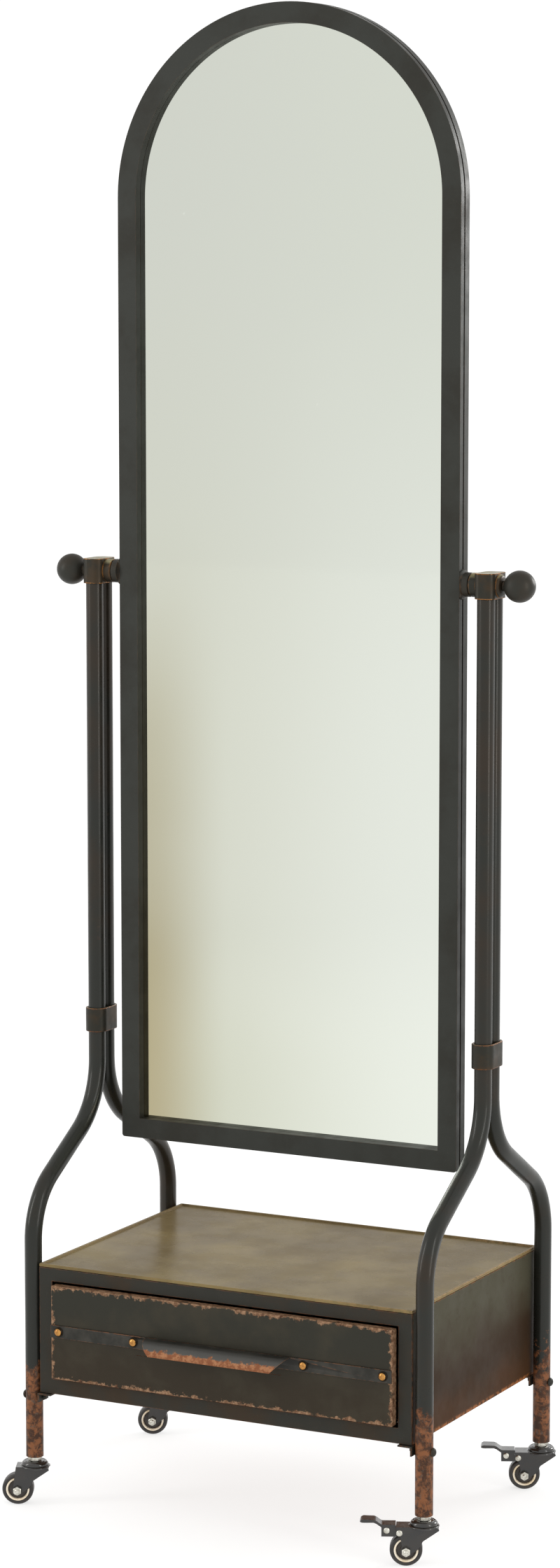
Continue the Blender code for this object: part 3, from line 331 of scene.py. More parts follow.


# %% [markdown]
# ## Handing pieces over
#
# Every piece is told which body carries it and which finish it wears, and the plain node it
# stands for is hidden. Shading is smooth except where an edge turns sharply.


def finished(piece, body, finish, stands_for=(), slot="black_paint", angle=32):
    piece.data.materials.clear()
    piece.data.materials.append(finish)
    piece.data.shade_smooth()
    piece.data.set_sharp_from_angle(angle=math.radians(angle))
    weigh = piece.modifiers.new("flat_faces_lead", "WEIGHTED_NORMAL")
    weigh.keep_sharp = True
    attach(piece, body)
    if stands_for:
        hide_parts(*([stands_for] if isinstance(stands_for, str) else stands_for))
    return piece


# %% [markdown]
# ## Building finishes
#
# A finish starts as one shader. Short calls then add cloudy changes of tone, rubbed edges,
# rust and tone that follow height, some of it painted reflection and shade. All of it comes
# from the surface's own place, so it stays put when the piece moves.

# %% Helper for finishes
def tone(text):
    """A colour written as on a paint card, made linear for the shader."""
    values = [int(text[i:i + 2], 16) / 255 for i in (0, 2, 4)]
    return tuple(v / 12.92 if v <= 0.04045 else ((v + 0.055) / 1.055) ** 2.4 for v in values)


class Finish:
    """One shader with short calls for the textures that feed it."""

    def __init__(self, name, metallic=0.0, roughness=0.5, specular=0.5, coat=0.0):
        self.material = bpy.data.materials.new(name)
        self.material.use_nodes = True
        self.tree = self.material.node_tree
        self.shader = self.tree.nodes["Principled BSDF"]
        set_inputs(self.shader, {"Metallic": metallic, "Roughness": roughness,
                                 "Specular IOR Level": specular, "Coat Weight": coat,
                                 "Coat Roughness": 0.12})
        self.place = self.add("TexCoord").outputs["Object"]
        self.parts = None

    def add(self, kind, **settings):
        node = self.tree.nodes.new("ShaderNode" + kind)
        for key, value in settings.items():
            setattr(node, key, value)
        return node

    def feed(self, socket, value):
        if isinstance(value, bpy.types.NodeSocket):
            self.tree.links.new(value, socket)
        elif isinstance(value, str):
            socket.default_value = (*tone(value), 1)
        else:
            socket.default_value = value

    def axis(self, letter):
        if self.parts is None:
            self.parts = self.add("SeparateXYZ")
            self.feed(self.parts.inputs[0], self.place)
        return self.parts.outputs[letter]

    def math(self, operation, a, b=0.0):
        node = self.add("Math", operation=operation)
        self.feed(node.inputs[0], a)
        self.feed(node.inputs[1], b)
        return node.outputs[0]

    def plus(self, a, b):
        return self.math("ADD", a, b)

    def less(self, a, b):
        return self.math("SUBTRACT", a, b)

    def times(self, a, b):
        return self.math("MULTIPLY", a, b)

    def spread(self, value, low, high, to_low=0.0, to_high=1.0):
        node = self.add("MapRange", clamp=True, interpolation_type="SMOOTHSTEP")
        for name, item in (("Value", value), ("From Min", low), ("From Max", high),
                           ("To Min", to_low), ("To Max", to_high)):
            self.feed(node.inputs[name], item)
        return node.outputs["Result"]

    def noise(self, scale, detail=4.0, roughness=0.6, stretch=(1, 1, 1), distortion=0.0):
        where = self.place
        if stretch != (1, 1, 1):
            mapping = self.add("Mapping")
            self.feed(mapping.inputs["Vector"], self.place)
            mapping.inputs["Scale"].default_value = stretch
            where = mapping.outputs[0]
        node = self.add("TexNoise")
        self.feed(node.inputs["Vector"], where)
        set_inputs(node, {"Scale": scale, "Detail": detail, "Roughness": roughness,
                          "Distortion": distortion})
        return node.outputs["Fac"]

    def cloud(self, noise, *span):
        """Noise given as (scale, detail, roughness), spread over a span."""
        return self.spread(self.noise(*noise), *span)

    def sway(self, noise, low, high):
        """A value that wanders from low to high."""
        return self.cloud(noise, 0.3, 0.7, low, high)

    def blend(self, factor, first, second):
        node = self.add("Mix", data_type="RGBA")
        self.feed(node.inputs[0], factor)
        self.feed(node.inputs[6], first)
        self.feed(node.inputs[7], second)
        return node.outputs[2]

    def edges(self, width):
        """1 at a filed edge, 0 on a flat: how far a rounded normal leaves the true one."""
        soft = self.add("Bevel", samples=4)
        soft.inputs["Radius"].default_value = width
        true = self.add("NewGeometry")
        dot = self.add("VectorMath", operation="DOT_PRODUCT")
        self.feed(dot.inputs[0], soft.outputs[0])
        self.feed(dot.inputs[1], true.outputs["Normal"])
        return self.spread(dot.outputs["Value"], 0.995, 0.90)

    def facing_up(self):
        geometry = self.add("NewGeometry")
        split = self.add("SeparateXYZ")
        self.feed(split.inputs[0], geometry.outputs["Normal"])
        return split.outputs["Z"]

    def bump(self, height, strength=0.2, depth=0.0004):
        node = self.add("Bump")
        set_inputs(node, {"Strength": strength, "Distance": depth})
        self.feed(node.inputs["Height"], height)
        self.feed(self.shader.inputs["Normal"], node.outputs[0])

    def colour(self, value):
        self.feed(self.shader.inputs["Base Color"], value)

    def rough(self, value):
        self.feed(self.shader.inputs["Roughness"], value)

    def close(self, colour, satin, grain=None):
        """Feed the colour, a wandering roughness and a fine grain, and hand it over."""
        self.colour(colour)
        self.rough(self.sway(*satin))
        if grain:
            scale, strength = grain
            self.bump(self.noise(scale, 3, 0.6), strength, 0.0002)
        return self.material


# %% [markdown]
# ### Worn black paint
#
# Most of the stand wears one thin charcoal paint over steel. It clouds between greenish
# and brownish black, its gloss wanders, and every edge is rubbed to a warm brown.

# %% Worn black paint
def worn_paint(name, base="2E2F2B", cloud="352D24", rub="6B503A", edge=0.0016,
               wear=0.55, rough=(0.36, 0.56)):
    finish = Finish(name, metallic=0.35, specular=0.2)
    clouds = finish.cloud((9, 5, 0.62), 0.42, 0.68)
    colour = finish.blend(clouds, base, cloud)
    speckle = finish.cloud((420, 3, 0.7), 0.60, 0.78, 0.0, 0.35)
    colour = finish.blend(speckle, colour, "4A453C")
    broken = finish.cloud((130, 5, 0.7), 0.40, 0.62)
    rubbed = finish.times(finish.times(finish.edges(edge), broken), wear)
    return finish.close(finish.blend(rubbed, colour, rub), ((34, 4, 0.6), *rough), (900, 0.10))


black_paint = worn_paint("worn_black_paint")
frame_paint = worn_paint("frame_paint", base="32332F", cloud="2B2A25", wear=0.35,
                         edge=0.0012, rough=(0.36, 0.52))
print("paints", black_paint.name, frame_paint.name)

# %% [markdown]
# ### Rusty feet
#
# The foot of each leg has lost its paint. Large noise says where the paint let go, middle
# noises give the orange bloom and the ash on it, and small noise the pits.

# %% Leg paint with rust from the floor up
RUST_TOP_Z = 0.225
RUST_FULL_Z = 0.140


def leg_paint():
    finish = Finish("leg_paint_rusting_at_the_foot", metallic=0.35, specular=0.2, coat=0.18)
    clouds = finish.cloud((9, 5, 0.62), 0.42, 0.70)
    paint = finish.blend(clouds, "262723", "2E271F")
    patches = finish.spread(finish.noise(105, 5, 0.68, distortion=0.4), 0.42, 0.60)
    bloom = finish.blend(patches, "3E281B", "7E4F30")
    ash = finish.cloud((170, 4, 0.6), 0.55, 0.68, 0.0, 0.75)
    bloom = finish.blend(ash, bloom, "54483E")
    glow = finish.spread(finish.noise(60, 4, 0.6, distortion=1.0), 0.56, 0.70, 0.0, 0.7)
    bloom = finish.blend(glow, bloom, "744C32")
    low = finish.spread(finish.axis("Z"), RUST_TOP_Z, RUST_FULL_Z)
    let_go = finish.plus(low, finish.sway((48, 5, 0.7), -0.45, 0.45))
    mask = finish.spread(let_go, 0.42, 0.62)
    finish.colour(finish.blend(mask, paint, bloom))
    satin = finish.sway((30, 4, 0.6), 0.24, 0.40)
    finish.rough(finish.plus(satin, finish.times(mask, 0.30)))
    pits = finish.times(finish.noise(520, 4, 0.7), mask)
    finish.bump(pits, 0.55, 0.0006)
    return finish.material


tube_paint = leg_paint()

# %% [markdown]
# ### Brass and bronze under the paint
#
# The pivot blocks and the bands are cast in a yellow metal. Their upward faces turn a lighter
# olive in patches, with bare brass and orange at the rims.

# %% Pivot block and band finishes
def rubbed_brass(name, film, rim, start, full):
    finish = Finish(name, metallic=0.5, specular=0.25)
    clouds = finish.cloud((26, 5, 0.62), 0.42, 0.66)
    paint = finish.blend(clouds, "2B2A24", "3A2F22")
    upward = finish.spread(finish.facing_up(), start, full)
    worn = finish.cloud((95, 5, 0.7), 0.30, 0.62, 0.55, 1.0)
    colour = finish.blend(finish.times(upward, worn), paint, film)
    broken = finish.cloud((150, 5, 0.7), 0.38, 0.55)
    rubbed = finish.times(finish.edges(0.0022), broken)
    return finish.close(finish.blend(rubbed, colour, rim), ((60, 4, 0.6), 0.30, 0.48), (700, 0.12))


head_metal = rubbed_brass("rubbed_pivot_block", "8C8462", "B0763C", 0.55, 0.85)
band_metal = rubbed_brass("rubbed_band", "6A604A", "8C5530", 0.2, 0.9)

# %% [markdown]
# ### Sheet metal of the case and drawer
#
# Sheet rusts from its cut edges inwards. On the drawer front that makes a ragged tan
# border, widest in the corners. The distance to the nearest edge is worked out from the
# box of the sheet, and noise decides how far the rust has crept.

# %% Drawer front with a rusted border
def edge_distance(finish, letter, low, high):
    """Distance along one axis to the nearer end of a span."""
    half = (high - low) / 2
    off = finish.math("ABSOLUTE", finish.less(finish.axis(letter), low + half))
    return finish.less(half, off)


def border_distance(finish, node):
    """Distances from a point on an upright sheet to its nearer edges, across and up."""
    low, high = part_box(node)
    return (edge_distance(finish, "X", low.x, high.x),
            edge_distance(finish, "Z", low.z, high.z))


def drawer_paint():
    finish = Finish("drawer_front_rusted_border", metallic=0.35, specular=0.2)
    low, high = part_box("drawer_front")
    fall = finish.spread(finish.axis("Z"), low.z + 0.02, high.z - 0.02)
    paint = finish.blend(fall, "30291F", "2D2C25")
    clouds = finish.cloud((14, 5, 0.6), 0.45, 0.7, 0.0, 0.6)
    paint = finish.blend(clouds, paint, "3B362B")
    gap_x, gap_z = border_distance(finish, "drawer_front")
    nearest = finish.math("MINIMUM", gap_x, gap_z)
    corner = finish.plus(gap_x, gap_z)
    nearest = finish.math("MINIMUM", nearest, finish.times(corner, 0.27))
    creep = finish.cloud((95, 6, 0.72), 0.30, 0.75, -0.0006, 0.0082)
    mask = finish.spread(finish.less(creep, nearest), -0.0006, 0.0012)
    inner = finish.cloud((210, 4, 0.7), 0.42, 0.60)
    rust = finish.blend(inner, "6E513B", "93745A")
    deep = finish.cloud((120, 4, 0.7), 0.52, 0.66)
    rust = finish.blend(deep, rust, "4C3020")
    finish.colour(finish.blend(mask, paint, rust))
    satin = finish.sway((26, 4, 0.6), 0.36, 0.52)
    finish.rough(finish.plus(satin, finish.times(mask, 0.18)))
    finish.bump(finish.plus(finish.times(mask, -0.6), finish.noise(600, 3)),
                0.25, 0.0003)
    return finish.material


drawer_metal = drawer_paint()

# %% [markdown]
# The case top is the one sheet that people touch and set things on, and the hem round it is
# rubbed bare. Its olive paint is lightened to a beige olive as painted sheen. The sides go from
# olive at the top to orange brown near the floor, a painted reflection.

# %% Case sheets
def case_top_paint():
    finish = Finish("case_top_olive_with_painted_sheen", metallic=0.0, specular=0.03)
    clouds = finish.cloud((7, 5, 0.6), 0.40, 0.66)
    # Painted sheen: the olive paint is lightened to a beige olive in the base colour, which has
    # almost no specular.
    colour = finish.blend(clouds, "685A3E", "7A6B49")
    scuffs = finish.spread(finish.noise(40, 6, 0.75, stretch=(1, 4, 1)), 0.56, 0.70, 0.0, 0.45)
    colour = finish.blend(scuffs, colour, "8A7955")
    broken = finish.cloud((120, 5, 0.7), 0.36, 0.56)
    right_side = finish.spread(finish.axis("X"), 0.06, 0.24, 0.25, 1.0)
    rubbed = finish.times(finish.times(finish.edges(0.0030), broken),
                         right_side)
    return finish.close(finish.blend(rubbed, colour, "A08058"),
                        ((18, 5, 0.65), 0.20, 0.34), (500, 0.03))


def case_side_paint():
    finish = Finish("case_side_olive_to_brown_painted_reflection", metallic=0.0, specular=0.04)
    low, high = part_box("case_shell")
    height = finish.plus(finish.axis("Z"),
                         finish.sway((16, 3, 0.5), -0.012, 0.012))
    # Painted reflection: olive high on the side, fading to orange brown towards the foot.
    olive = finish.spread(height, low.z + 0.055, high.z - 0.02)
    colour = finish.blend(olive, "32251A", "454235")
    foot = finish.spread(height, low.z + 0.050, low.z + 0.004)
    colour = finish.blend(foot, colour, "3F2A1A")
    stain = finish.cloud((70, 5, 0.72), 0.52, 0.68, 0.0, 0.3)
    colour = finish.blend(stain, colour, "332619")
    hem = finish.spread(finish.axis("Z"), low.z + 0.0060, low.z + 0.0020)
    rubbed = finish.times(finish.math("MAXIMUM", finish.edges(0.0022), hem),
                         finish.cloud((130, 5, 0.7), 0.38, 0.58))
    return finish.close(finish.blend(rubbed, colour, "8A5733"),
                        ((20, 5, 0.65), 0.34, 0.54), (500, 0.10))


case_top_metal = case_top_paint()
case_side_metal = case_side_paint()
trim_paint = worn_paint("trim_paint", base="2D2C27", cloud="352B20",
                        rub="7C4C2C", wear=0.9, edge=0.0018)

# %% [markdown]
# ### Pull, rivets, glass and caster finishes
#
# The pull is dark paint, with the outer front of its lip painted a lighter grey as painted
# reflection, and it is eaten to copper along its free edge. The rivet domes have a rim painted
# dark as painted shade. The mirror is silver on a slightly green glass: its tone drifts from
# cool at the top to warm at the foot, and across it, as painted reflection, with the foot
# darkened as painted shade.

# %% Pull
def pull_paint():
    finish = Finish("pull_with_eaten_edge", metallic=0.4, specular=0.25)
    low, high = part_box("drawer_pull")
    face = finish.blend(finish.cloud((40, 4, 0.6), 0.35, 0.65),
                        "2A2925", "3A3833")
    proud = finish.spread(finish.less(high.y, finish.axis("Y")), 0.008, 0.014)
    ragged = finish.sway((120, 5, 0.7), -0.0024, 0.0024)
    lower = finish.spread(finish.plus(finish.axis("Z"), ragged),
                          low.z + 0.0088, low.z + 0.0072)
    eaten = finish.times(proud, lower)
    # Painted reflection: the outer, front-facing part of the lip is painted a lighter grey.
    grey = finish.times(proud, 0.8)
    face = finish.blend(grey, face, "4E4D4A")
    rust = finish.blend(finish.cloud((170, 4, 0.65), 0.42, 0.62),
                        "7A4A2F", "9A6B4A")
    colour = finish.blend(eaten, face, rust)
    line = finish.times(finish.edges(0.0012),
                       finish.cloud((160, 5, 0.7), 0.40, 0.58, 0.0, 0.8))
    finish.colour(finish.blend(line, colour, "8C5A38"))
    finish.rough(finish.plus(0.34, finish.times(eaten, 0.25)))
    finish.bump(finish.noise(600, 4, 0.7), 0.2, 0.0003)
    return finish.material


pull_metal = pull_paint()

# %% Glass, backing and bright metals
def mirror_silver():
    finish = Finish("mirror_silver_painted_reflection", metallic=1.0, specular=0.5)
    low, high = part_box("mirror_glass")
    # Painted reflection: the tone goes from cool at the top to warm lower down and changes across
    # the glass.
    drift = finish.plus(finish.axis("Z"),
                        finish.sway((1.4, 3, 0.5), -0.10, 0.10))
    fall = finish.spread(drift, high.z - 0.15, low.z + 0.35)
    # Painted shade: the foot of the glass is darkened.
    depth = finish.spread(drift, low.z + 0.34, low.z + 0.02)
    across = finish.spread(finish.axis("X"), low.x, high.x)
    head = finish.blend(across, "CBCEC5", "D0D4CA")
    middle = finish.blend(across, "CCCEC0", "DDE1D9")
    foot = finish.blend(across, "BFC1AF", "DCE0D7")
    colour = finish.blend(depth, finish.blend(fall, head, middle), foot)
    # A warm, darker patch towards the lower left.
    lower_left_patch = finish.times(finish.spread(finish.axis("X"), low.x * 0.35, low.x * 0.95),
                        finish.spread(drift, low.z + 0.75, low.z + 0.15))
    colour = finish.blend(lower_left_patch, colour, "A89F80")
    finish.colour(colour)
    specks = finish.cloud((90, 2, 0.4), 0.80, 0.83)
    finish.rough(finish.plus(0.03, finish.times(specks, 0.2)))
    return finish.material


def bright_metal(name, light, dark, roughness):
    finish = Finish(name, metallic=1.0, specular=0.5)
    clouds = finish.cloud((160, 5, 0.65), 0.35, 0.68)
    colour = finish.blend(clouds, light, dark)
    grime = finish.cloud((420, 4, 0.7), 0.58, 0.74, 0.0, 0.6)
    return finish.close(finish.blend(grime, colour, "4A3E30"),
                        ((300, 4, 0.6), roughness, roughness + 0.18), (900, 0.12))


def rivet_bronze():
    finish = Finish("rivet_bronze", metallic=1.0, specular=0.5)
    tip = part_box("drawer_rivet_1")[0].y
    dome = finish.blend(finish.cloud((160, 5, 0.65), 0.35, 0.68),
                        "C7924F", "94663A")
    # Painted shade: back from its tip, round the rim, the dome is painted dark brown.
    proud = finish.spread(finish.axis("Y"), tip + 0.0026, tip + 0.0016)
    return finish.close(finish.blend(proud, "2E2822", dome),
                        ((300, 4, 0.6), 0.22, 0.38), (900, 0.12))


def backing_board():
    finish = Finish("fibre_board", roughness=0.85, specular=0.2)
    fibres = finish.noise(60, 6, 0.7, stretch=(1, 1, 9))
    finish.colour(finish.blend(finish.spread(fibres, 0.35, 0.68), "4E3B2A", "6B523A"))
    finish.rough(finish.spread(fibres, 0.3, 0.7, 0.75, 0.92))
    finish.bump(finish.noise(380, 5, 0.7), 0.35, 0.0004)
    return finish.material


silver = mirror_silver()
board = backing_board()
rivet_metal = rivet_bronze()
zinc = bright_metal("zinc_plate", "D8D6CC", "A29E92", 0.22)

# %% Caster finishes
def moulded(name, main, second, roughness, coat=0.0, dust=0.0, metallic=0.0):
    finish = Finish(name, metallic=metallic, specular=0.5, coat=coat)
    clouds = finish.cloud((60, 4, 0.6), 0.35, 0.68)
    colour = finish.blend(clouds, main, second)
    settled = finish.times(finish.spread(finish.facing_up(), 0.3, 0.95),
                          finish.cloud((260, 5, 0.7), 0.40, 0.70, 0.0, dust))
    return finish.close(finish.blend(settled, colour, "8A8274"),
                        ((180, 4, 0.6), roughness, roughness + 0.14), (800, 0.08))


gloss_black = moulded("gloss_black_pressing", "1B1A19", "25211D", 0.14,
                      coat=0.5, dust=0.12, metallic=0.2)
tyre_rubber = moulded("tyre_rubber", "1E1B19", "2A241F", 0.34, dust=0.1)
ring_cream = moulded("cream_ring", "F0E4CF", "D8C4A4", 0.22, coat=0.3)
hub_dark = moulded("hub_plastic", "2E2823", "3A322B", 0.42)
nylon = moulded("nylon_plug", "232322", "2C2B29", 0.5)
print("finishes", len(bpy.data.materials))

# %% [markdown]
# ## The four bent tubes
#
# Each leg is one length of 22 mm tube with two bends. Pushing a ring along the bent path
# gives the outside, and a wall thickness makes it a real tube with an open, rounded foot.

# %% Legs
UPPER_BEND_Z, LOWER_BEND_Z = 0.491, 0.3925
UPPER_BEND_R, LOWER_BEND_R = 0.100, 0.090


def tube(name, path, across):
    ring = arc((0, 0), TUBE_R, 0, 360, 40)[:-1]
    piece = sweep(name, path, ring, across)
    bm = bmesh.new()
    bm.from_mesh(piece.data)
    ends = [f for f in bm.faces if len(f.verts) > 4]
    bmesh.ops.delete(bm, geom=ends, context="FACES_ONLY")
    bm.to_mesh(piece.data)
    bm.free()
    wall = piece.modifiers.new("wall", "SOLIDIFY")
    wall.thickness = TUBE_WALL
    wall.offset = -1
    wall.use_even_offset = True
    return rounded(settle(piece), 0.0005, 2, 50)


for corner, side, depth in CORNERS:
    x, y = side * LEG_X, MID_Y + depth * PAIR_Y
    foot_y = MID_Y + depth * LEG_Y
    path = bent_path([(x, y, LEG_TOP_Z), (x, y, UPPER_BEND_Z), (x, foot_y, LOWER_BEND_Z),
                      (x, foot_y, LEG_BOTTOM_Z)], (UPPER_BEND_R, LOWER_BEND_R))
    finished(tube(corner + "_tube", path, (1, 0, 0)), "stand", tube_paint, corner + "_leg")

# %% [markdown]
# ## Pivot blocks
#
# A small block closes each pair of tubes and carries the tilt bearing. It is a squared
# casting with round corners, a domed boss outside and a long boss inside.

# %% Pivot blocks
def on_tilt_axis(piece, side):
    return turn_to(piece, (side, 0, 0), (0, MID_Y, TILT_Z))


HEAD_WIDTH, HEAD_CORNER_R = 0.0265, 0.009
STUD_R = 0.0040
head_low, head_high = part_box("pivot_head_right")
HEAD_IN_X = LEG_X - HEAD_WIDTH / 2
HEAD_OUT_X = LEG_X + HEAD_WIDTH / 2
HEAD_TOP_Z = head_high.z
HEAD_BASE_Z = LEG_TOP_Z + GAP
BARREL_R = 0.0150


def pivot_block(name, side):
    half_x, half_y = HEAD_WIDTH / 2, (head_high.y - head_low.y) / 2
    outline = rounded_box((-half_x, -half_y), (half_x, half_y), HEAD_CORNER_R, 8)
    body = rounded(plate(name, [outline], HEAD_BASE_Z, HEAD_TOP_Z), 0.0016, 4)
    body.data.transform(Matrix.Translation((side * LEG_X, MID_Y, 0)))
    boss_end = HEAD_OUT_X + 0.0050
    outer = [(STUD_R + GAP, HEAD_OUT_X - 0.003), (STUD_R + GAP, boss_end),
             (0.0078, boss_end)]
    outer += arc((0.0098, boss_end - 0.0046), 0.0044, 80, 0, 7)
    outer += [(0.0147, HEAD_OUT_X - 0.003)]
    inner_end = head_low.x
    inner = [(STUD_R + GAP, HEAD_IN_X + 0.003), (STUD_R + GAP, inner_end)]
    inner += arc((BARREL_R - 0.0016, inner_end + 0.0016), 0.0016, 270, 360, 4)
    inner += [(BARREL_R, HEAD_IN_X + 0.003)]
    for part, profile in (("outer", outer), ("inner", inner)):
        boss = lathe(name + part, profile, 56, bored=True)
        body = combine(body, on_tilt_axis(boss, side))
    return body


for label, side in SIDES:
    finished(pivot_block("pivot_block_" + label, side), "stand", head_metal,
             "pivot_head_" + label)

# %% [markdown]
# ## Ball knobs, bushes and bands
#
# Balls, necks and bushes are lathe work. The band is a strip bent round both tubes, so it
# is a section pushed along a stadium path.

# %% Ball knobs
knob_low, knob_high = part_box("ball_knob_right")
KNOB_R = (knob_high.z - knob_low.z) / 2
NECK_R = 0.0066


def ball_and_stud(name, side):
    centre = knob_high.x - KNOB_R
    meet = math.degrees(math.asin(NECK_R / KNOB_R))
    ball = [(r, centre + h) for h, r in arc((0, 0), KNOB_R, 0, 178 - meet, 36)]
    ball[0] = (0, ball[0][1])
    neck_start = HEAD_OUT_X + 0.0055
    fillet = [(NECK_R + 0.0006, ball[-1][1] - 0.0003), (NECK_R, ball[-1][1] - 0.0010)]
    profile = ball + fillet + [(NECK_R, neck_start + 0.0003), (NECK_R - 0.0004, neck_start),
                               (STUD_R, neck_start), (STUD_R, knob_low.x + 0.001),
                               (STUD_R - 0.001, knob_low.x), (0, knob_low.x)]
    return on_tilt_axis(lathe(name, profile, 72), side)


for label, side in SIDES:
    finished(ball_and_stud("ball_" + label, side), "knob_" + label, black_paint,
             "ball_knob_" + label)

# %% Bushes on the mirror frame
barrel_low, barrel_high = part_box("pivot_barrel_right")
front_low, front_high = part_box("mirror_front_frame")
rear_low, rear_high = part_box("mirror_rear_frame")
FRAME_HALF = front_high.x


def welded_bush(name, side):
    start, end = barrel_low.x, barrel_high.x
    bore = STUD_R + 0.0005
    profile = [(bore, end)] + arc((BARREL_R - 0.0014, end - 0.0014), 0.0014, 90, 0, 4)
    bead = [(0.0019 * math.cos(math.radians(a)), 0.0022 * math.sin(math.radians(a)))
            for a in (90, 60, 30, 0)]
    profile += [(BARREL_R, start + 0.0034)]
    profile += [(BARREL_R + 0.0026 + r - 0.0008, start + h) for r, h in bead]
    profile += [(bore, start)]
    bush = on_tilt_axis(lathe(name, profile, 64, bored=True), side)
    for low, high in ((-0.05, front_low.y - MID_Y), (rear_high.y - MID_Y, 0.05)):
        near, far = sorted((side * (start - 0.004), side * (start + 0.0024)))
        trim = block(name + "_trim", (near, MID_Y + low, TILT_Z - 0.04),
                     (far, MID_Y + high, TILT_Z + 0.04))
        bush = combine(bush, trim, "DIFFERENCE")
    return bush


for label, side in SIDES:
    finished(welded_bush("bush_" + label, side), "mirror", black_paint, "pivot_barrel_" + label)

# %% Bands round the posts
band_low, band_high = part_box("band_clip_right")
BAND_WALL = (band_high.x - band_low.x) / 2 - TUBE_R - GAP


def band(name, side):
    path = arc((0, PAIR_Y), TUBE_R + GAP, 0, 180, 28)
    path += arc((0, -PAIR_Y), TUBE_R + GAP, 180, 360, 28)
    points = [(x + side * LEG_X, y + MID_Y, 0) for x, y in path]
    section = rounded_box((-BAND_WALL, band_low.z), (0, band_high.z), 0.0009, 3)
    return sweep(name, points, section, (0, 0, 1), closed=True)


for label, side in SIDES:
    finished(band("band_" + label, side), "stand", band_metal, "band_clip_" + label,
             slot="bronze_paint")

# %% [markdown]
# ## Mirror frame
#
# Two flat bars bent to the same arch and welded together make the frame. The step in the
# rear bar leaves a thin slot round the side, crossed here and there by a weld tack.

# %% Mirror frame
ARCH_Z = front_high.z - FRAME_HALF
FRAME_FACE = 0.0256
REAR_LIP = 0.0200
SLOT_WIDTH, SLOT_DEPTH = 0.0032, 0.0022
GLASS_INSET = FRAME_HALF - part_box("mirror_glass")[1].x
ARCH_STEPS = 96
CORNER_R = 0.0035     # the bars' lower corners
BEYOND = 0.01         # how far a cutter runs past what it cuts


def arch(inset, corner=0.0):
    half = FRAME_HALF - inset
    foot = front_low.z + inset
    points = arc((0, ARCH_Z), half, 0, 180, ARCH_STEPS)
    if corner:
        points += arc((-half + corner, foot + corner), corner, 180, 270, 5)
        points += arc((half - corner, foot + corner), corner, 270, 360, 5)
    else:
        points += [(-half, foot), (half, foot)]
    return points


def flat_bar(name, inner_inset, front, back, edge, cuts):
    """A bar between two arches, with filed edges, less each cut of (outlines, front, back)."""
    bar = standing_plate(name, [arch(0, CORNER_R), arch(inner_inset)], front, back)
    bar = rounded(bar, edge, 3, 60)
    for cut in cuts:
        bar = combine(bar, standing_plate("cut", *cut), "DIFFERENCE")
    return bar


rebate = ([arch(-BEYOND), arch(GLASS_INSET)], rear_low.y - GAP, front_high.y + BEYOND)
front_bar = flat_bar("arched_front_bar", FRAME_FACE, front_low.y, front_high.y, 0.0012, [rebate])
finished(front_bar, "mirror", frame_paint, "mirror_front_frame")

pocket = ([arch(GLASS_INSET - GAP)], rear_low.y - BEYOND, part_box("mirror_backing")[1].y + GAP)
slot = ([arch(-BEYOND), arch(SLOT_DEPTH, CORNER_R)], rear_low.y - BEYOND,
        rear_low.y + SLOT_WIDTH)
rear_bar = flat_bar("arched_rear_bar", REAR_LIP, rear_low.y, rear_high.y, 0.0010,
                    [pocket, slot])
finished(rear_bar, "mirror", frame_paint, "mirror_rear_frame")

# %% [markdown]
# Weld tacks are drops of metal, so each is a squashed ball bridging the slot. Their
# heights are uneven, as they are when a welder works by eye.

# %% Weld tacks in the side slot
TACK_HEIGHTS = (0.553, 0.635, 0.988, 1.120, 1.237, 1.572, 1.636, 1.720)
slot_mid_y = rear_low.y + SLOT_WIDTH / 2


def weld_tack(name, place, along):
    profile = [(r, h) for h, r in arc((0, 0), 1, 0, 180, 8)]
    profile[0], profile[-1] = (0, profile[0][1]), (0, profile[-1][1])
    drop = lathe(name, profile, 14)
    drop.data.transform(Matrix.Diagonal((0.0014, 0.0015, 0.0036, 1)))
    return turn_to(drop, along, place)


for label, side in SIDES:
    for number, height in enumerate(TACK_HEIGHTS, start=1):
        if height < ARCH_Z:
            place, along = (side * (FRAME_HALF - SLOT_DEPTH), slot_mid_y, height), (0, 0, 1)
        else:
            turn = math.asin((height - ARCH_Z) / FRAME_HALF)
            reach = FRAME_HALF - SLOT_DEPTH
            place = (side * reach * math.cos(turn), slot_mid_y, ARCH_Z + reach * math.sin(turn))
            along = (-side * math.sin(turn), 0, math.cos(turn))
        tack = weld_tack("weld_tack_%s_%d" % (label, number), place, along)
        finished(tack, "mirror", frame_paint)

# %% [markdown]
# ## Case
#
# The case is folded sheet. Real folds are never sharp, so the top's hem, the face frame
# and the back corners are remade here with soft bends. What stays hidden keeps its plain
# node and only gets a finish.

# %% Case top and face frame
top_low, top_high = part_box("case_top")
TOP_RIM, TOP_RECESS = 0.0042, 0.0022
lid = block("hemmed_top", top_low, top_high)
dish = block("top_dish", (top_low.x + TOP_RIM, top_low.y + TOP_RIM, top_high.z - TOP_RECESS),
             (top_high.x - TOP_RIM, top_high.y - TOP_RIM, top_high.z + 0.01))
lid = rounded(combine(lid, dish, "DIFFERENCE"), 0.0009, 3)
finished(lid, "stand", case_top_metal, "case_top")

face_low, face_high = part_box("face_frame")
STILE, TOP_RAIL, BOTTOM_RAIL = 0.0187, 0.0213, 0.0200
opening_top = top_high.z - TOP_RAIL
outer = [(face_low.x, face_low.z), (face_high.x, face_low.z),
         (face_high.x, face_high.z), (face_low.x, face_high.z)]
left, right = face_low.x + STILE, face_high.x - STILE
opening_foot = face_low.z + BOTTOM_RAIL
inner = [(left, opening_foot), (right, opening_foot), (right, opening_top), (left, opening_top)]
face = standing_plate("folded_face_frame", [outer, inner], face_low.y, face_high.y)
finished(rounded(face, 0.0007, 3), "stand", trim_paint, "face_frame")

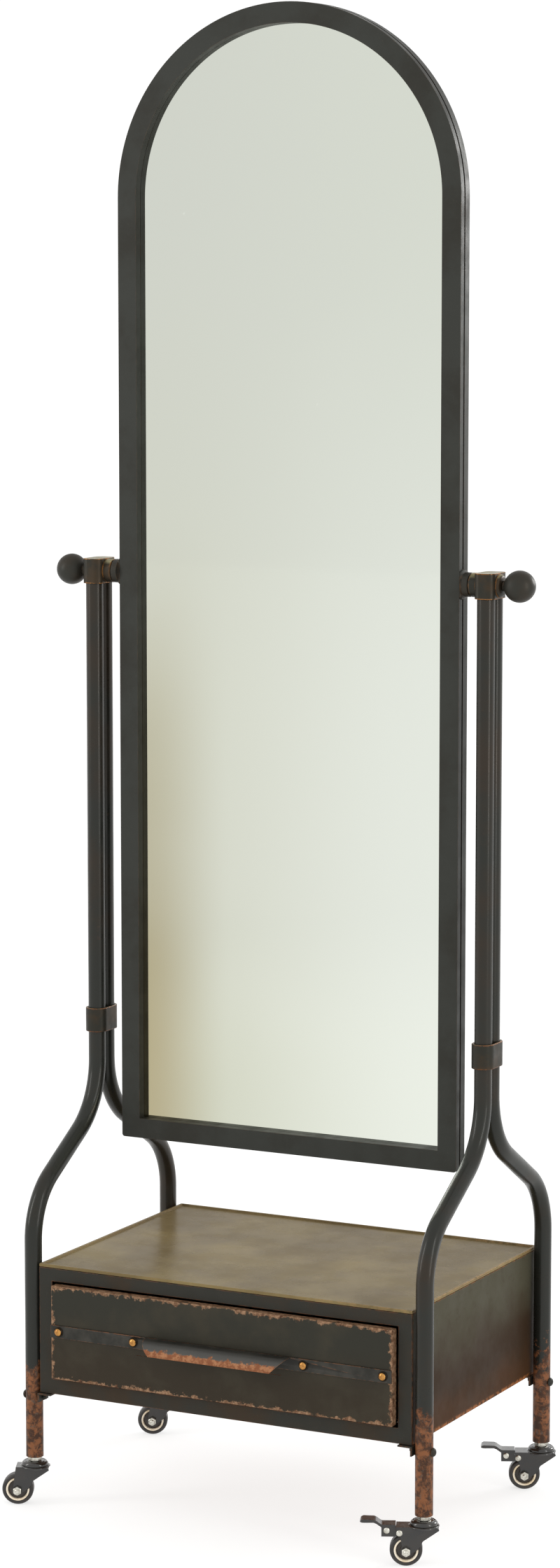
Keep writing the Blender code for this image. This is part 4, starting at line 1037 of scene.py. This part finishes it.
# %% Case shell with bent back corners
shell_low, shell_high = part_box("case_shell")
SHEET = 0.0015
FOLD_R = 0.0030
shell_path = bent_path([(shell_low.x, shell_low.y, 0), (shell_low.x, shell_high.y, 0),
                        (shell_high.x, shell_high.y, 0), (shell_high.x, shell_low.y, 0)],
                       (FOLD_R, FOLD_R), 6)
shell_section = rounded_box((-SHEET, shell_low.z), (0, shell_high.z), 0.0004, 2)
finished(sweep("bent_case_shell", shell_path, shell_section, (0, 0, 1)), "stand",
         case_side_metal, "case_shell")

# %% [markdown]
# ## Drawer pull and rivets
#
# One strap crosses the drawer. In its middle the sheet curls out and down into a lip for
# the fingers: a quarter of an ellipse in side view, cut off slanting at both ends.

# %% Domed heads and the pull
def dome(radius, seat, tip, end, steps=10):
    """Profile of a domed head, from its tip down to its rim."""
    points = [(radius * x, seat + (tip - seat) * y) for x, y in arc((0, 0), 1, 90, end, steps)]
    return [(0, tip)] + points[1:]


strap_low, strap_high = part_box("drawer_pull")
STRAP_SHEET = 0.0014
LIP_REACH, LIP_DROP, LIP_HALF = 0.0255, 0.0165, 0.1010
STRAP_TOP = strap_high.z
STRAP_FOOT = STRAP_TOP - 0.0162
STRAP_FRONT_Y = strap_high.y - STRAP_SHEET


def curled_pull():
    strap = rounded(block("strap", (strap_low.x, STRAP_FRONT_Y, STRAP_FOOT),
                          (strap_high.x, strap_high.y, STRAP_TOP)), 0.0004, 2)
    outer, inner = [], []
    for i in range(25):
        a = math.pi / 2 * i / 24
        outer.append((STRAP_FRONT_Y - LIP_REACH * math.sin(a),
                      STRAP_TOP - LIP_DROP * (1 - math.cos(a))))
        inner.append((STRAP_FRONT_Y - (LIP_REACH - STRAP_SHEET) * math.sin(a),
                      STRAP_TOP - STRAP_SHEET - (LIP_DROP - STRAP_SHEET) * (1 - math.cos(a))))
    root = STRAP_FRONT_Y + STRAP_SHEET / 2
    side_view = [(root, STRAP_TOP)] + outer + inner[::-1] + [(root, STRAP_TOP - STRAP_SHEET)]
    lip = plate("lip", [side_view], -LIP_HALF, LIP_HALF)
    lip.data.transform(Matrix(((0, 0, 1, 0), (1, 0, 0, 0), (0, 1, 0, 0), (0, 0, 0, 1))))
    for side in (-1, 1):
        corner = side * (LIP_HALF - LIP_DROP)
        low = STRAP_TOP - LIP_DROP
        wedge = [(corner, low), (corner + side * 0.04, low), (corner + side * 0.04, low + 0.04)]
        knife = standing_plate("slant", [wedge], STRAP_FRONT_Y - 0.05, STRAP_FRONT_Y)
        lip = combine(lip, knife, "DIFFERENCE")
    return combine(strap, rounded(lip, 0.0003, 2, 50))


finished(curled_pull(), "drawer", pull_metal, "drawer_pull", angle=40)

# %% Rivets
for number in range(1, 5):
    rivet_low, rivet_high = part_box("drawer_rivet_%d" % number)
    radius = (rivet_high.x - rivet_low.x) / 2
    place = ((rivet_low.x + rivet_high.x) / 2, 0, (rivet_low.z + rivet_high.z) / 2)
    seat = -(STRAP_FRONT_Y - GAP)
    tip = -rivet_low.y
    profile = dome(radius * 0.86, seat, tip, 12)
    profile += [(radius * 0.88, seat + 0.0006), (radius, seat + 0.0004), (radius, seat),
                (0.0024, seat), (0.0024, -rivet_high.y), (0, -rivet_high.y)]
    rivet = turn_to(lathe("rivet_%d" % number, profile, 40), (0, -1, 0), place)
    finished(rivet, "drawer", rivet_metal, "drawer_rivet_%d" % number, slot="brass")

# %% [markdown]
# ## Leg bolts
#
# A round-headed bolt ties each leg to the bracket under the case. Only its head shows, so
# that is turned finely, and a six-sided nut closes it inside.

# %% Hex nuts and leg bolts
def hex_nut(name, flats, bottom, top, bore=0.0):
    """A nut: six flats, with its corners turned away at both ends."""
    ring = [(flats / math.sqrt(3) * math.cos(a), flats / math.sqrt(3) * math.sin(a))
            for a in [math.pi / 3 * i + math.pi / 6 for i in range(6)]]
    holes = [arc((0, 0), bore, 0, 360, 24)[:-1]] if bore else []
    nut = plate(name, [ring] + holes, bottom, top)
    corner_r = flats / math.sqrt(3)
    ease = (top - bottom) * 0.16
    turned = lathe(name + "_turned",
                   [(0, top), (flats * 0.48, top), (corner_r + 0.0001, top - ease),
                    (corner_r + 0.0001, bottom + ease), (flats * 0.48, bottom), (0, bottom)], 48)
    return combine(nut, turned, "INTERSECT")


for corner, side, depth in CORNERS:
    bolt_low, bolt_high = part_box(corner + "_leg_bolt")
    reach = max(abs(bolt_low.x), abs(bolt_high.x))
    inner_end = min(abs(bolt_low.x), abs(bolt_high.x))
    head_r = (bolt_high.z - bolt_low.z) / 2
    seat = LEG_X + TUBE_R + GAP
    profile = dome(head_r, seat, reach, 6)
    profile += [(head_r, seat), (0.0025, seat), (0.0025, inner_end), (0, inner_end)]
    bolt = lathe(corner + "_bolt", profile, 32)
    nut = hex_nut(corner + "_bolt_nut", 0.0070, inner_end + 0.001, inner_end + 0.005)
    bolt = combine(bolt, nut)
    place = middle(corner + "_leg_bolt")
    turn_to(bolt, (side, 0, 0), (0, place.y, place.z))
    finished(bolt, "stand", black_paint, corner + "_leg_bolt")

# %% [markdown]
# ## Casters
#
# A pressed fork swivels under a hex collar, with the wheel trailing behind. Every part is
# drawn in the caster's own space, X forward and Z up, then set under its leg and turned
# the way the wheel trails.

# %% Where each caster stands
joints = {joint["name"]: joint for joint in frame["joints"]}


def caster_space(corner):
    x, y, _ = joints[corner + "_swivel"]["pos_m"]
    spin = joints[corner + "_wheel_spin"]["axis"]
    heading = math.atan2(spin[0], -spin[1])
    return Matrix.Translation((x, y, 0)) @ Matrix.Rotation(heading, 4, "Z")


def set_under(piece, space, *details, **more):
    piece.data.transform(space)
    finished(piece, *details, **more)


wheel_low, wheel_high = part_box("front_left_caster_wheel")
WHEEL_R = (wheel_high.z - wheel_low.z) / 2
WHEEL_HALF = 0.0085
swivel_place = Vector(joints["front_left_swivel"]["pos_m"])
axle_place = Vector(joints["front_left_wheel_spin"]["pos_m"])
AXLE_X = -(swivel_place - axle_place).xy.to_3d().length
FORK_TOP = 2 * WHEEL_R + 0.0100
FORK_SHEET = 0.0020
CHEEK_IN = WHEEL_HALF + 0.0012
CHEEK_OUT = CHEEK_IN + FORK_SHEET
PEDAL_X, PEDAL_Z = AXLE_X - 0.0081, 2 * WHEEL_R + 0.0025
stem_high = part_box("front_left_caster_stem")[1]
print("wheel", round(WHEEL_R * 2000, 1), "mm, trail", round(-AXLE_X * 1000, 1), "mm")

# %% Fork with its swivel cap
def fork_side(brake):
    nose = 0.0186
    points = [(nose - 0.004, FORK_TOP), (nose - 0.0005, FORK_TOP - 0.0018),
              (nose, FORK_TOP - 0.004), (AXLE_X + 0.0205, WHEEL_R + 0.0125),
              (AXLE_X + 0.0145, WHEEL_R + 0.0020)]
    points += arc((AXLE_X, WHEEL_R), 0.0068, -25, -180, 14)
    points += [(AXLE_X - 0.0051, WHEEL_R + 0.0068)]
    if brake:
        points += arc((PEDAL_X, PEDAL_Z), 0.0045, -80, -180, 10)
        points += [(PEDAL_X - 0.0040, FORK_TOP)]
    else:
        points += [(AXLE_X - 0.0020, FORK_TOP)]
    return points


def drill(radius, low, high, steps):
    return lathe("drill", [(0, high), (radius, high), (radius, low), (0, low)], steps)


def domed_pin(x, z, seat, name):
    half = dome(0.0040, seat, seat + 0.0020, 0, 8)
    half += [(0.0040, seat - 0.0002), (0.0022, seat - 0.0002)]
    pin = lathe(name, half + [(r, -h) for r, h in half[::-1]], 28)
    return turn_to(pin, (0, -1, 0), (x, 0, z))


def pressed_fork(name, brake):
    fork = standing_plate(name, [fork_side(brake)[::-1]], -CHEEK_OUT, CHEEK_OUT)
    fork = rounded(fork, 0.0010, 3)
    under = FORK_TOP - FORK_SHEET
    gap = block("gap", (-0.09, -CHEEK_IN, -0.01), (0.05, CHEEK_IN, under))
    fork = combine(fork, gap, "DIFFERENCE")
    brim = [(0, FORK_TOP + 0.0006), (0.0175, FORK_TOP + 0.0006)]
    brim += arc((0.0178, FORK_TOP - 0.0008), 0.0012, 90, -60, 6)
    brim += [(0.0165, under), (0, under)]
    fork = combine(fork, lathe("brim", brim, 56))
    fork = combine(fork, drill(0.0043, 0.03, 0.1, 32), "DIFFERENCE")
    axle_bore = turn_to(drill(0.0031, -0.03, 0.03, 32), (0, -1, 0), (AXLE_X, 0, WHEEL_R))
    return combine(fork, axle_bore, "DIFFERENCE")


def swivel_cap(name):
    foot = FORK_TOP + 0.0009
    top = FORK_TOP + 0.0064
    profile = [(0.0043, top), (0.0112, top), (0.0120, top - 0.0003), (0.0128, top - 0.0010)]
    profile += arc((0.0126, top - 0.0046), 0.0044, 70, 0, 8)
    profile += [(0.0168, foot), (0.0043, foot)]
    return lathe(name, profile, 56, bored=True)


for corner, side, depth in CORNERS:
    space = caster_space(corner)
    body = "caster_" + corner
    set_under(pressed_fork(corner + "_fork", side > 0), space, body, gloss_black,
              corner + "_caster_fork", slot="gloss_black")
    set_under(swivel_cap(corner + "_swivel_cap"), space, body, gloss_black, slot="gloss_black")

# %% [markdown]
# The wheel is three turned pieces: a soft tyre, a glossy cream ring let into its side and a
# darker hub. Kept apart, each takes the light in its own way.

# %% Wheel, axle and collar
def ring_of(name, edge, steps):
    """Turn a bored piece that is the same on both sides."""
    return lathe(name, edge + [(x, -z) for x, z in edge[::-1]], steps, bored=True)


def tyre(name):
    half, r = WHEEL_HALF, WHEEL_R
    side = [(0.0152, half - 0.0022), (0.0152, half - 0.0004), (0.0158, half)]
    side += [(0.0174, half + 0.0001)]
    side += arc((r - 0.0036, half - 0.0036), 0.0036, 75, 0, 8)
    return ring_of(name, side, 72)


def side_rings(name):
    half = WHEEL_HALF
    edge = [(0.0122, half - 0.0026), (0.0124, half - 0.0008), (0.0128, half - 0.0002)]
    edge += [(0.0138, half + 0.0001), (0.0147, half - 0.0002), (0.0150, half - 0.0008)]
    return ring_of(name, edge, 72)


def hub(name):
    half = WHEEL_HALF
    edge = [(0.0033, half), (0.0060, half), (0.0068, half - 0.0006), (0.0074, half - 0.0024),
            (0.0112, half - 0.0028), (0.0120, half - 0.0034)]
    return ring_of(name, edge, 56)


def axle(name):
    seat = CHEEK_OUT + GAP
    tip = seat + 0.0072
    bolt = lathe(name, [(0, tip), (0.0019, tip), (0.0028, tip - 0.0009), (0.0028, -seat),
                        (0.0050, -seat), (0.0050, -seat - 0.0020), (0.0040, -seat - 0.0030),
                        (0, -seat - 0.0030)], 36)
    return combine(bolt, hex_nut(name + "_nut", 0.0098, seat, seat + 0.0052))


for corner, side, depth in CORNERS:
    space = caster_space(corner)
    turning = (space @ Matrix.Translation((AXLE_X, 0, WHEEL_R))
               @ Matrix.Rotation(math.pi / 2, 4, "X"))
    wheel = "wheel_" + corner
    for make, part, finish in ((tyre, "tyre", tyre_rubber), (side_rings, "ring", ring_cream),
                               (hub, "hub", hub_dark)):
        stands_for = corner + "_caster_wheel" if part == "tyre" else ()
        set_under(make(corner + "_" + part), turning, wheel, finish, stands_for,
                  slot="wheel_rubber")
    set_under(axle(corner + "_axle_bolt"), turning, "caster_" + corner, zinc,
              corner + "_caster_axle", slot="zinc")

# %% Stem and collar
def stem(name):
    under = FORK_TOP - FORK_SHEET
    collar_foot = FORK_TOP + 0.0067
    collar_top = LEG_BOTTOM_Z - GAP
    rod = lathe(name, [(0, stem_high.z), (0.0040, stem_high.z), (0.0048, stem_high.z - 0.0008),
                       (0.0048, collar_foot + 0.001), (0.0040, collar_foot + 0.001),
                       (0.0040, under - 0.0005), (0.0070, under - 0.0005),
                       (0.0060, under - 0.0027), (0, under - 0.0027)], 36)
    collar = hex_nut(name + "_collar", 0.0150, collar_foot, collar_top)
    return combine(rod, collar)


for corner, side, depth in CORNERS:
    under_leg = Matrix.Translation((side * LEG_X, MID_Y + depth * LEG_Y, 0))
    set_under(stem(corner + "_stem"), under_leg, "stand", zinc, corner + "_caster_stem",
              slot="zinc")

# %% [markdown]
# ## Brake pedals
#
# The two right casters have a foot pedal: sheet bent to a box over the tyre and carried on
# into a paddle. It hinges on the bright pin in the fork, and a second rivet closes it.

# %% Brake pedals
BRAKE_TURN = math.radians(17.0)


def pressed_shoe():
    """The tyre's curve where the shoe lands at full press, turned back to rest."""
    points = []
    for x, z in arc((AXLE_X, WHEEL_R), WHEEL_R + 0.0004, 133, 117, 10):
        dx, dz = x - PEDAL_X, z - PEDAL_Z
        points.append((PEDAL_X + dx * math.cos(BRAKE_TURN) + dz * math.sin(BRAKE_TURN),
                       PEDAL_Z - dx * math.sin(BRAKE_TURN) + dz * math.cos(BRAKE_TURN)))
    return points


def pedal(name):
    top = FORK_TOP + 0.0022
    foot = WHEEL_R + 0.0174
    back = AXLE_X - 0.0300
    step = PEDAL_X - 0.0046
    shoe = [point for point in pressed_shoe() if point[1] > foot]
    outline = [(step, top), (back + 0.0020, top), (back, top + 0.0004),
               (back - 0.0030, top + 0.0024), (back - 0.0060, top + 0.0046),
               (back - 0.0090, top + 0.0057), (back - 0.0220, top + 0.0061),
               (back - 0.0250, top + 0.0050), (back - 0.0263, top + 0.0024),
               (back - 0.0253, top + 0.0020), (back - 0.0095, top + 0.0022),
               (back - 0.0060, top + 0.0008), (back, top - 0.0034), (back, foot),
               (shoe[0][0] - 0.0004, foot)] + shoe
    outline += arc((PEDAL_X, PEDAL_Z), 0.0032, 245, 450, 14)
    outline += [(step, PEDAL_Z + 0.0032)]
    half = CHEEK_IN - 0.0005
    piece = standing_plate(name, [outline], -half, half)
    r = 0.0055
    tip = back - 0.0264
    plan = arc((tip + r, half - r), r, 90, 180, 8) + arc((tip + r, -half + r), r, 180, 270, 8)
    plan += [(0.0, -half - 0.001), (0.0, half + 0.001)]
    piece = combine(piece, plate("plan", [plan], 0.0, 0.1), "INTERSECT")
    piece = rounded(piece, 0.0006, 3, 40)
    hollow = block("hollow", (back + 0.0018, -half + 0.0018, foot - 0.01),
                   (AXLE_X - 0.0195, half - 0.0018, top - 0.0028))
    piece = combine(piece, hollow, "DIFFERENCE")
    bore = turn_to(drill(0.0025, -0.03, 0.03, 24), (0, -1, 0), (PEDAL_X, 0, PEDAL_Z))
    return combine(piece, bore, "DIFFERENCE")


for corner in ("front_right", "rear_right"):
    space = caster_space(corner)
    set_under(pedal(corner + "_pedal"), space, "brake_" + corner, gloss_black,
              corner + "_brake_lever", slot="gloss_black")
    set_under(domed_pin(PEDAL_X, PEDAL_Z, CHEEK_OUT, corner + "_pivot_pin"), space,
              "caster_" + corner, zinc, slot="zinc")
    rivet = domed_pin(AXLE_X - 0.0235, 2 * WHEEL_R + 0.0048, CHEEK_IN - 0.0005,
                      corner + "_pedal_rivet")
    set_under(rivet, space, "brake_" + corner, zinc, slot="zinc")

# %% [markdown]
# ## Nodes that keep their plain shape
#
# Flat sheets and hidden plugs are right as they are. They only need their finish.

# %% Finishes on the carried-over nodes
carried = {"mirror_glass": silver, "mirror_backing": board, "case_bottom": case_side_metal,
           "drawer_front": drawer_metal, "drawer_tray": trim_paint}
for label, side in SIDES:
    carried["drawer_runner_" + label] = zinc
for corner, side, depth in CORNERS:
    carried[corner + "_leg_insert"] = nylon
    carried[corner + "_bracket"] = trim_paint
for node, finish in carried.items():
    slots = frame["nodes"][node].data.materials
    slots.clear()
    slots.append(finish)
